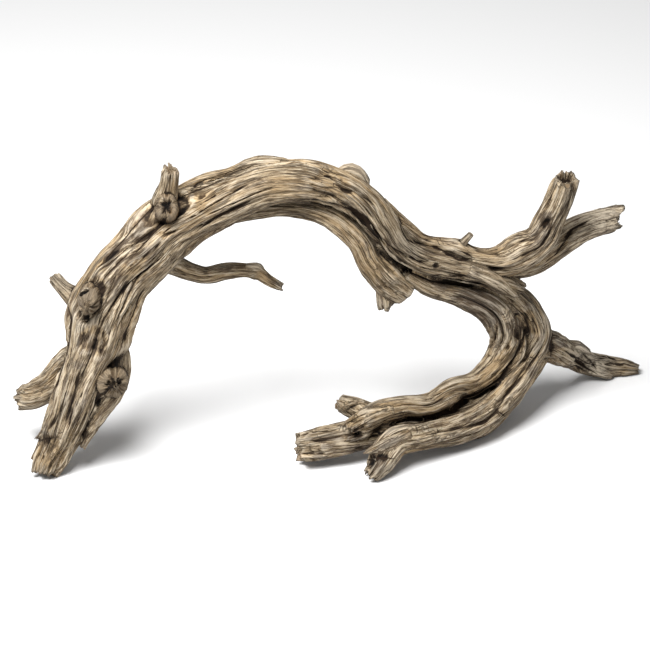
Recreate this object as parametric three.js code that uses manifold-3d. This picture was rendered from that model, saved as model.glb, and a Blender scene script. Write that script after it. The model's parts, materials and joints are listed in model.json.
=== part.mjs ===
// A weathered piece of driftwood: a limb that rises from a splintered foot, arches over, winds down
// through an S into a hook and ends in broken feet, with forks, spurs, knots and hollows on the way.
// It is one piece of wood, so every strand is joined into one solid. Millimetres, +Z up.
import * as THREE from "three";
import Module from "manifold-3d";

// The set-out: a strand's stations are [across, up, back, radius]. Across and up are read on a sheet
// that faces an eye looking down at the wood; back is the true distance behind the front feet.
const EYE_ELEVATION = THREE.MathUtils.degToRad(30);
const EYE_DISTANCE = 3600;
const SHEET_MIDDLE = 153;
const SIGHT = new THREE.Vector3(0, Math.cos(EYE_ELEVATION), -Math.sin(EYE_ELEVATION));
const SHEET_UP = new THREE.Vector3(0, Math.sin(EYE_ELEVATION), Math.cos(EYE_ELEVATION));
const EYE = SHEET_UP.clone().multiplyScalar(SHEET_MIDDLE).addScaledVector(SIGHT, -EYE_DISTANCE);

// Fineness of the facets: each furrow takes three of them, and rings lie closer on thin strands.
const SIDES_PER_FURROW = 3;
const STEP_PER_RADIUS = 0.85;
const SHORTEST_STEP = 9.5;
const LONGEST_STEP = 17;

// How the furrows behave: they wander round the strand and swell and fade over these lengths.
const WANDER_LENGTH = 95;
const SWELL_LENGTH = 60;
const WANDER_ANGLE = 0.35;

const GROUND_REACH = 2000;
const WOOD_COLOUR = 0xa8957a;

// Each strand: the number of its furrows, their depth as a share of the radius, how far they turn in
// radians per metre, and how its ends are left: jag is the height of the splinters, hollow the depth of
// the rotted heart, below zero for a rounded end. An oval strand is that much deeper than broad.
const STRANDS = [
  {
    name: "leg and arch",
    furrows: 7, depth: 0.2, turn: 2.2, startJag: 3, startHollow: 5, endJag: 3,
    stations: [
      [-280.5, 6.5, 5, 13.5], [-274, 21, 9, 17.5], [-265, 39, 13, 20], [-253, 64, 19, 24], [-241, 94, 26, 29],
      [-229.5, 128, 33, 32.5], [-221.5, 166, 40, 34.5], [-205, 199, 46, 32], [-180, 227, 50, 32],
      [-155, 252.5, 53, 31.5], [-124.5, 268, 55, 26], [-90, 282, 57, 24], [-55, 294, 58, 22.5],
      [-20, 296, 59, 21.5], [12, 289, 60, 20], [39, 274, 62, 18], [58, 253, 66, 17],
      [75, 232, 72, 15.5], [97, 218, 79, 14.5],
      [125, 211, 87, 14], [155, 204, 96, 13], [180, 195, 104, 11.5], [194, 189, 109, 9.5],
    ],
  },
  {
    name: "strand under the arch",
    furrows: 4, depth: 0.18, turn: 3, endHollow: -6,
    stations: [
      [-103, 258, 60, 6], [-70, 266, 61, 8], [-35, 270, 62, 9.5], [-5, 265, 63, 11.5], [16, 254, 65, 13.5],
      [34, 238, 68, 14], [46, 219, 72, 14.5], [61, 202, 77, 18], [80, 188, 82, 15.5],
    ],
  },
  {
    name: "crest behind the arch",
    furrows: 4, depth: 0.2, turn: 2, startJag: 2,
    stations: [
      [-155, 281, 66, 7], [-125, 294, 70, 9.5], [-95, 302, 72, 9.5], [-62, 311.5, 73, 11],
      [-25, 305, 72, 11],
      [15, 294, 74, 11], [42, 278, 77, 9],
    ],
  },
  {
    name: "lump on the crest",
    furrows: 3, depth: 0.1, turn: 0, startHollow: -4, endHollow: -5,
    stations: [[10, 294.5, 84, 8.5], [25, 300.5, 84, 14], [38, 291, 84, 10]],
  },
  {
    name: "back of the S",
    furrows: 4, depth: 0.18, turn: 2,
    stations: [
      [5, 288, 70, 14], [36, 266, 76, 17], [60, 240, 83, 17], [88, 220, 92, 16], [122, 209, 102, 15],
      [152, 197, 111, 13], [172, 186, 118, 9],
    ],
  },
  {
    name: "inner strand of the hook",
    furrows: 5, depth: 0.18, turn: 3, endJag: 4, endHollow: 3,
    stations: [
      [80, 208, 80, 11], [107, 194, 90, 13.5], [140, 185, 102, 16], [172, 168, 114, 20],
      [183, 141, 121, 19],
      [175, 117, 114, 16.5], [154, 96, 97, 13], [128, 86, 78, 13.5], [105, 73, 61, 13], [75, 70, 46, 12.5],
      [48, 61, 34, 14.5], [27, 48, 25, 11.5],
    ],
  },
  {
    name: "outer strand of the hook",
    furrows: 5, depth: 0.18, turn: 3, startJag: 3, endJag: 4, endHollow: 6,
    stations: [
      [145, 200, 106, 10], [176, 186, 115, 13], [200, 169, 125, 15], [213, 143, 130, 14],
      [203, 116, 122, 14],
      [184, 88, 100, 15], [163, 65, 77, 14.5], [134, 50, 55, 15.5], [100, 44, 38, 15.5], [70, 37, 21, 16.5],
      [55, 15.5, 4, 14], [46, 3, -2, 10],
    ],
  },
  {
    name: "heart of the hook",
    furrows: 5, depth: 0.16, turn: 2,
    stations: [
      [82, 218, 84, 11], [115, 198, 101, 15], [155, 181, 122, 19], [184, 159, 138, 24], [193, 133, 143, 25],
      [182, 103, 130, 23], [157, 78, 104, 19], [125, 64, 79, 16], [90, 54, 57, 14], [60, 48, 44, 12],
    ],
  },
  {
    name: "back ridge of the hook",
    furrows: 3, depth: 0.2, turn: 2, endJag: 3,
    stations: [
      [218, 146, 146, 12.5], [211, 120, 140, 10.5], [194, 94, 124, 10.5], [178, 72, 102, 10.5],
      [157, 52.5, 80, 11],
      [130, 44, 60, 9.5],
    ],
  },
  {
    name: "heel",
    furrows: 4, depth: 0.15, turn: 2, endJag: 3, endHollow: 3,
    stations: [
      [75, 50, 48, 13], [40, 44, 40, 16], [10, 38, 32, 18], [-13, 33, 27, 17.5], [-26, 31, 24, 16],
    ],
  },
  {
    name: "knuckle over the heel",
    furrows: 3, depth: 0.12, turn: 0, endHollow: -3,
    stations: [[45, 62, 46, 14], [28, 70, 48, 12], [15, 75, 49, 10]],
  },
  {
    name: "back strand and upper fork",
    furrows: 5, depth: 0.18, turn: 3, endJag: 3, endHollow: 8,
    stations: [
      [54, 272, 80, 10.5], [78, 247.5, 86, 11.5], [98, 233, 92, 11], [126, 227, 97, 12],
      [153, 218, 102, 13],
      [175, 217, 105, 16.5], [195, 226.5, 107, 19.5], [214, 239, 106, 17], [226, 261, 104, 15],
      [235, 282, 101, 14],
      [242, 301, 98, 12.5],
    ],
  },
  {
    name: "lower fork",
    furrows: 4, depth: 0.18, turn: 2, endJag: 5, endHollow: 5,
    stations: [
      [178, 211, 112, 13], [205, 217, 119, 15.5], [228, 231.5, 126, 16], [250, 246.5, 133, 16],
      [272, 255, 140, 14.5],
      [293, 261, 146, 13.5],
    ],
  },
  {
    name: "twig by the fork",
    furrows: 3, depth: 0.1, turn: 0,
    stations: [[131, 228, 100, 7], [138, 236, 99, 5], [146, 244, 98, 3.2]],
  },
  {
    name: "tail",
    furrows: 4, depth: 0.2, turn: 2, endJag: 2,
    stations: [
      [205, 136, 134, 20], [226, 131, 154, 17], [246, 122, 178, 13.5], [265, 114, 194, 12],
      [283, 111.5, 201, 11.5],
      [299, 110.5, 203.5, 9], [313, 109, 204, 5],
    ],
  },
  {
    name: "horn on the shoulder",
    furrows: 4, depth: 0.14, turn: 2, endJag: 2, endHollow: 2,
    stations: [[-163, 252, 52, 16], [-160, 274, 50, 15], [-156, 293, 46, 10], [-154, 309, 42, 9]],
  },
  {
    name: "peg on the leg",
    furrows: 3, depth: 0.12, turn: 0, endJag: 2, endHollow: 2,
    stations: [[-236, 171, 44, 18], [-250, 181, 50, 12], [-262, 191, 54, 8], [-271, 201, 57, 7]],
  },
  {
    name: "spur on the leg",
    furrows: 4, depth: 0.15, turn: 2, endJag: 3, endHollow: 2,
    stations: [
      [-244, 125, 42, 17], [-262, 107, 50, 16], [-278, 91.5, 57, 15], [-294, 82, 62, 14.5],
      [-306, 80.5, 65, 13.5],
    ],
  },
  {
    name: "upper splinter of the foot",
    furrows: 3, depth: 0.2, turn: 0, endJag: 3,
    stations: [[-259, 64, 20, 10], [-275, 50, 15, 7.5], [-287, 40, 11, 4]],
  },
  {
    name: "outer splinter of the foot",
    furrows: 3, depth: 0.2, turn: 0, endJag: 3,
    stations: [[-262, 50, 16, 11], [-279, 32, 11, 8.5], [-291, 18, 8, 4.5]],
  },
  {
    name: "front splinter of the foot",
    furrows: 3, depth: 0.2, turn: 0, endJag: 3,
    stations: [[-256, 50, 6, 9], [-268, 32, 2, 9], [-277, 17, -2, 5]],
  },
  {
    name: "tongue beside the leg",
    furrows: 3, depth: 0.16, turn: 1, endJag: 3,
    stations: [
      [-209, 135, 36, 12], [-207, 110, 30, 13.5], [-213, 88, 25, 13], [-226, 69, 20, 12],
      [-237, 51, 15, 10],
      [-245.5, 33, 10, 7],
    ],
  },
  {
    name: "side branch under the arch",
    furrows: 4, depth: 0.16, turn: 4, endJag: 1,
    stations: [
      [-165, 220, 60, 14], [-148, 212, 70, 10.5], [-133, 206, 77, 9.5], [-118, 203, 82, 9],
      [-100, 207, 85, 8.5],
      [-80, 208, 87, 7], [-66, 205, 88, 7.5], [-55, 197, 88, 6], [-44, 191, 88, 4.8],
    ],
  },
  {
    name: "fluted stub under the S",
    furrows: 4, depth: 0.22, turn: 0, endJag: 3,
    stations: [[60, 200, 78, 10], [60, 184, 77, 10], [61, 171, 76, 9]],
  },
  {
    name: "upper knot on the leg",
    furrows: 4, depth: 0.06, turn: 0, endHollow: -4, oval: 1.25,
    stations: [[-232, 182, 32, 13], [-235, 179, 14, 12], [-237, 175, 3, 11], [-238, 172, -4, 8]],
  },
  {
    name: "lower knot on the leg",
    furrows: 4, depth: 0.08, turn: 0, endHollow: -5,
    stations: [[-214, 98, 28, 18], [-213, 97, 10, 16.5], [-212, 95, -1, 15.5], [-211, 94, -7, 11]],
  },
  {
    name: "knot under the horn",
    furrows: 4, depth: 0.08, turn: 0, endHollow: 6, oval: 1.35,
    stations: [[-158, 268, 46, 13], [-158, 270, 34, 11.5], [-158, 271, 27, 10.5], [-158, 272, 22, 8]],
  },
];

// Crevices between the strands, deeper than broad: the stations of their middle lines at the skin.
const CREVICE_OVAL = 1.8;
const CREVICES = [
  {
    name: "under the ridge of the S",
    furrows: 2, depth: 0, turn: 0, oval: CREVICE_OVAL,
    stations: [
      [-29, 277.5, 39.6, 2.8], [-5, 276, 40.7, 4], [13, 272.5, 44.3, 4.6], [27, 266, 48, 5],
      [40, 257, 47.2, 5.2], [51, 241, 58.9, 5.2], [62, 226, 65.3, 5.2], [75, 214, 70, 5.2],
      [90, 203, 72.4, 5], [107, 197, 78.1, 4.6], [130, 195.5, 88.6, 4.6], [153, 193, 83, 4.4],
      [172, 186, 95.9, 3.2],
    ],
  },
  {
    name: "along the hook",
    furrows: 2, depth: 0, turn: 0, oval: CREVICE_OVAL,
    stations: [
      [180, 181, 106, 2.7], [192, 169, 108.9, 3.6], [201, 160, 113.7, 4], [203, 149, 116.5, 4.2],
      [198, 136, 110.4, 4.2], [192, 125, 106.6, 4.2], [185, 112, 102.3, 4.2], [177, 102, 97.2, 4.4],
      [168, 93, 90.6, 4.8], [156, 86, 82, 5.4], [143, 80, 72.8, 5.4], [130, 68, 68.7, 4.8],
      [115, 63, 57.8, 4.4], [97, 58, 44.7, 4.2], [77, 57, 37, 4.2], [63, 55, 29, 4.4], [53, 47, 26.2, 5.2],
      [43, 38, 25.2, 5.7],
    ],
  },
];

// Hollows rotted into the wood: [across, up, back, radius].
const HOLLOWS = [
  [112, 212, 64, 5],
  [143, 77, 64, 10],
  [-237, 190, 2, 6],
  [-205, 94, -8, 6],
  [-158, 279, 24, 5.5],
  [43, 14, -9, 6.5],
  [241, 299, 88, 7],
];

// A point of the set-out in the wood's own frame, and the factor by which sizes read there grow.
function sighted(across, up, back) {
  const sheet = SHEET_UP.clone().multiplyScalar(up);
  sheet.x = across;
  const factor = (back - EYE.y) / (sheet.y - EYE.y);
  return { point: sheet.sub(EYE).multiplyScalar(factor).add(EYE), factor };
}

// A smooth wander between -1 and 1, different for every seed.
function wander(value, seed) {
  return 0.6 * Math.sin(value + 1.7 * seed) + 0.4 * Math.sin(1.9 * value + 2.3 * seed);
}

// How far the furrows have turned round the strand at a distance along it.
function drift(strand, along, seed) {
  return (strand.turn * along) / 1000 + WANDER_ANGLE * wander(along / WANDER_LENGTH, seed);
}

// The height of the furrowed skin above its mean, as a share of the radius. The angle is counted from
// the first furrow; every furrow and every ridge swells and fades on its own.
function furrowed(strand, along, angle, seed) {
  const turns = (strand.furrows * angle) / (2 * Math.PI);
  const furrow = Math.round(turns) % strand.furrows;
  const ridge = Math.floor(turns) % strand.furrows;
  const cut = 1 + 0.6 * wander(along / SWELL_LENGTH + 2 * furrow, seed);
  const swell = 0.3 * wander(along / SWELL_LENGTH + 3 * ridge, seed + 5);
  const height = Math.sqrt(Math.abs(Math.sin(Math.PI * turns)));
  return strand.depth * ((height - 1) * cut + 0.3 + swell * height);
}

// Sections of a strand at even steps: their centres, radii, frames and distances along it.
function sections(strand) {
  const places = strand.stations.map(([across, up, back]) => sighted(across, up, back));
  const centreLine = new THREE.CatmullRomCurve3(places.map((p) => p.point), false, "centripetal");
  const girths = strand.stations.map((s, i) => new THREE.Vector3(s[3] * places[i].factor, 0, 0));
  const girthLine = new THREE.CatmullRomCurve3(girths, false, "centripetal");
  const length = centreLine.getLength();
  const made = [];
  let along = 0;
  while (along < length) {
    made.push({ along });
    const radius = girthLine.getPoint(centreLine.getUtoTmapping(along / length)).x;
    along += THREE.MathUtils.clamp(STEP_PER_RADIUS * radius, SHORTEST_STEP, LONGEST_STEP);
  }
  const stretch = length / made[made.length - 1].along;
  for (const section of made) {
    section.along = Math.min(length, section.along * stretch);
    const t = centreLine.getUtoTmapping(section.along / length);
    section.centre = centreLine.getPoint(t);
    section.radius = girthLine.getPoint(t).x;
    section.ahead = centreLine.getTangent(t);
    const guide = Math.abs(section.ahead.dot(SIGHT)) > 0.9 ? SHEET_UP : SIGHT;
    section.inward = guide.clone().addScaledVector(section.ahead, -guide.dot(section.ahead)).normalize();
    section.aside = new THREE.Vector3().crossVectors(section.inward, section.ahead);
  }
  return made;
}

// How far a broken end's rim stands out past its last section.
function splinter(jag, angle, seed) {
  return jag * (0.6 * Math.sin(2 * angle + seed) + 0.5 * Math.sin(5 * angle + 2 * seed));
}

// A closed skin over rings of equal size, with a point in the middle of each end.
function skin(rings, firstMiddle, lastMiddle) {
  const sides = rings[0].length;
  const points = [...rings.flat(), firstMiddle, lastMiddle];
  const faces = [];
  for (let ring = 0; ring + 1 < rings.length; ring++) {
    for (let side = 0; side < sides; side++) {
      const a = ring * sides + side;
      const b = ring * sides + ((side + 1) % sides);
      faces.push(a, b, a + sides, b, b + sides, a + sides);
    }
  }
  const last = (rings.length - 1) * sides;
  for (let side = 0; side < sides; side++) {
    const next = (side + 1) % sides;
    faces.push(points.length - 2, next, side);
    faces.push(points.length - 1, last + side, last + next);
  }
  const geometry = new THREE.BufferGeometry().setFromPoints(points);
  geometry.setIndex(faces);
  return geometry;
}

// A strand as a closed, furrowed, tapering tube with splintered ends.
function strandGeometry(strand, seed) {
  const { furrows, oval = 1, startJag = 0, startHollow = 0 } = strand;
  const { endJag = 0, endHollow = 0 } = strand;
  const cuts = sections(strand);
  const first = cuts[0];
  const last = cuts[cuts.length - 1];
  const sides = SIDES_PER_FURROW * furrows;
  const rings = cuts.map((cut) => {
    const turned = drift(strand, cut.along, seed);
    const ring = [];
    for (let side = 0; side < sides; side++) {
      const angle = (2 * Math.PI * side) / sides;
      const reach = cut.radius * (1 + furrowed(strand, cut.along, angle, seed));
      const point = cut.centre
        .clone()
        .addScaledVector(cut.aside, reach * Math.cos(angle + turned))
        .addScaledVector(cut.inward, oval * reach * Math.sin(angle + turned));
      if (cut === first) point.addScaledVector(cut.ahead, -splinter(startJag, angle, seed));
      if (cut === last) point.addScaledVector(cut.ahead, splinter(endJag, angle, seed));
      ring.push(point);
    }
    return ring;
  });
  const firstMiddle = first.centre.clone().addScaledVector(first.ahead, startHollow);
  const lastMiddle = last.centre.clone().addScaledVector(last.ahead, -endHollow);
  return skin(rings, firstMiddle, lastMiddle);
}

function hollowGeometry([across, up, back, radius]) {
  const { point, factor } = sighted(across, up, back);
  return new THREE.SphereGeometry(radius * factor, 9, 6).translate(...point.toArray());
}

const wasm = await Module();
wasm.setup();

// A closed geometry as a solid: vertices at the same place become one.
function solid(geometry) {
  const positions = geometry.getAttribute("position");
  const known = new Map();
  const coordinates = [];
  const merged = [...geometry.index.array].map((vertex) => {
    const xyz = [positions.getX(vertex), positions.getY(vertex), positions.getZ(vertex)];
    const key = xyz.map((value) => value.toFixed(4)).join(" ");
    if (!known.has(key)) {
      known.set(key, known.size);
      coordinates.push(...xyz);
    }
    return known.get(key);
  });
  const faces = [];
  for (let i = 0; i < merged.length; i += 3) {
    const [a, b, c] = merged.slice(i, i + 3);
    if (a !== b && b !== c && a !== c) faces.push(a, b, c);
  }
  return new wasm.Manifold(
    new wasm.Mesh({
      numProp: 3,
      vertProperties: new Float32Array(coordinates),
      triVerts: new Uint32Array(faces),
    }),
  );
}

// Everything is joined, crevices and hollows are cut, and the feet are worn flat on the ground.
function driftwoodSolid() {
  let wood = solid(strandGeometry(STRANDS[0], 1));
  STRANDS.slice(1).forEach((strand, i) => {
    wood = wood.add(solid(strandGeometry(strand, i + 2)));
  });
  for (const crevice of CREVICES) wood = wood.subtract(solid(strandGeometry(crevice, 0)));
  for (const hollow of HOLLOWS) wood = wood.subtract(solid(hollowGeometry(hollow)));
  const ground = new THREE.BoxGeometry(GROUND_REACH, GROUND_REACH, GROUND_REACH);
  return wood.subtract(solid(ground.translate(0, 0, -GROUND_REACH / 2)));
}

// The solid as a geometry, moved so that its origin is under the middle of its box, on the ground.
function driftwoodGeometry() {
  const mesh = driftwoodSolid().getMesh();
  const geometry = new THREE.BufferGeometry();
  geometry.setAttribute("position", new THREE.BufferAttribute(mesh.vertProperties, 3));
  geometry.setIndex(new THREE.BufferAttribute(mesh.triVerts, 1));
  geometry.computeBoundingBox();
  const middle = geometry.boundingBox.getCenter(new THREE.Vector3());
  return geometry.translate(-middle.x, -middle.y, 0);
}

const driftwood = new THREE.Group();
const wood = new THREE.Mesh(
  driftwoodGeometry(),
  new THREE.MeshStandardMaterial({ color: WOOD_COLOUR, roughness: 0.85, metalness: 0 }),
);
wood.name = "driftwood";
driftwood.add(wood);

export default driftwood;
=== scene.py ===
"""Looks of a weathered piece of driftwood: its furrowed skin, splintered ends and silvered grain."""

import json
import math

import bmesh
import bpy
import numpy as np
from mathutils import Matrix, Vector

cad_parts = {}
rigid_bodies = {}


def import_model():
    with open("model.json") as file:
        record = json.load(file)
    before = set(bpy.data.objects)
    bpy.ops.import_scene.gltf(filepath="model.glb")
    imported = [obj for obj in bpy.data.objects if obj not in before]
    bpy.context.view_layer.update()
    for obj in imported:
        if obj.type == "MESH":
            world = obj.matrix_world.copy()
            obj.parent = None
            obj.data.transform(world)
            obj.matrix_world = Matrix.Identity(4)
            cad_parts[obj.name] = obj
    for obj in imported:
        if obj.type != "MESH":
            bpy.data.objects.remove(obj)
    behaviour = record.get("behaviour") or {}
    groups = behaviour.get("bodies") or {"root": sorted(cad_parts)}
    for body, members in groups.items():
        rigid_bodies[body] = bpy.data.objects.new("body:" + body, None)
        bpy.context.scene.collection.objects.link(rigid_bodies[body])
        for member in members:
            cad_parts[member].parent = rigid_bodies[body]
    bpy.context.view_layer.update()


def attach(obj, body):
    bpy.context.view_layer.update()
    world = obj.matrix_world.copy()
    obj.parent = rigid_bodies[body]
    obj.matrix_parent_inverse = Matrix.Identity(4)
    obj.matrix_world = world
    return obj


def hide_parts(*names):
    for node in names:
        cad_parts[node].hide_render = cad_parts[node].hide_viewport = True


for left_over in list(bpy.data.objects):
    bpy.data.objects.remove(left_over, do_unlink=True)

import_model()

MM = 0.001

# The set-out of the wood, in millimetres, as in its solid: stations are [across, up, back, radius] on
# a sheet that faces an eye looking down at the wood.
EYE_ELEVATION = math.radians(30)
EYE_DISTANCE = 3600.0
SHEET_MIDDLE = 153.0
SHEET_SIDE = 650.0
ORIGIN = np.array([8.118, 100.373, 0.0])
SIGHT = np.array([0.0, math.cos(EYE_ELEVATION), -math.sin(EYE_ELEVATION)])
SHEET_UP = np.array([0.0, math.sin(EYE_ELEVATION), math.cos(EYE_ELEVATION)])
EYE = SHEET_UP * SHEET_MIDDLE - SIGHT * EYE_DISTANCE

# Fineness of the skin, in millimetres, and the behaviour of the broad furrows, as in the solid.
CELL_ROUND = 1.5
CELL_ALONG = 2.95
CELL_CAP = 2.2
WANDER_LENGTH = 95.0
SWELL_LENGTH = 60.0
WANDER_ANGLE = 0.35

# Heights and depths of the marks on the skin, in millimetres, where the wood is 20 mm thick.
RIDGE_HEIGHT = 1.9
FIBRE_HEIGHT = 1.3
LUMP_HEIGHT = 2.4
ROUGH_HEIGHT = 0.8
CRACK_DEPTH = 3.4
PIT_DEPTH = 2.4
SCALE_DEPTH = 0.75
MEAN_FURROW = 0.65

# Broken ends, in millimetres: how far back their splinters bend the skin, how far back it looks torn, and
# the depth of a dish whose bed is fully darkened with rot and painted shade. The grain of each strand starts
# this far from the last one's.
SPLINTER_LENGTH = 20.0
BROKEN_BAND = 4
DEEP_DISH = 8
GRAIN_APART = 731.0

# Points nearer the ground than this, in metres, stay on it when seams are eased.
GROUND_BAND = 0.0004

# Light and floor of the stage.
ROOM_LIGHT = 0.28
LAMP_POWER = 72
LAMP_SIZE = (1.0, 0.8)
LAMP_PLACE = (-0.5, -0.7, 1.7)
LAMP_AIM = (0, 0, 0.15)
FLOOR_GREY = (0.86, 0.86, 0.86, 1)
FLOOR_SIZE = 30
SENSOR_WIDTH = 36

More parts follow.
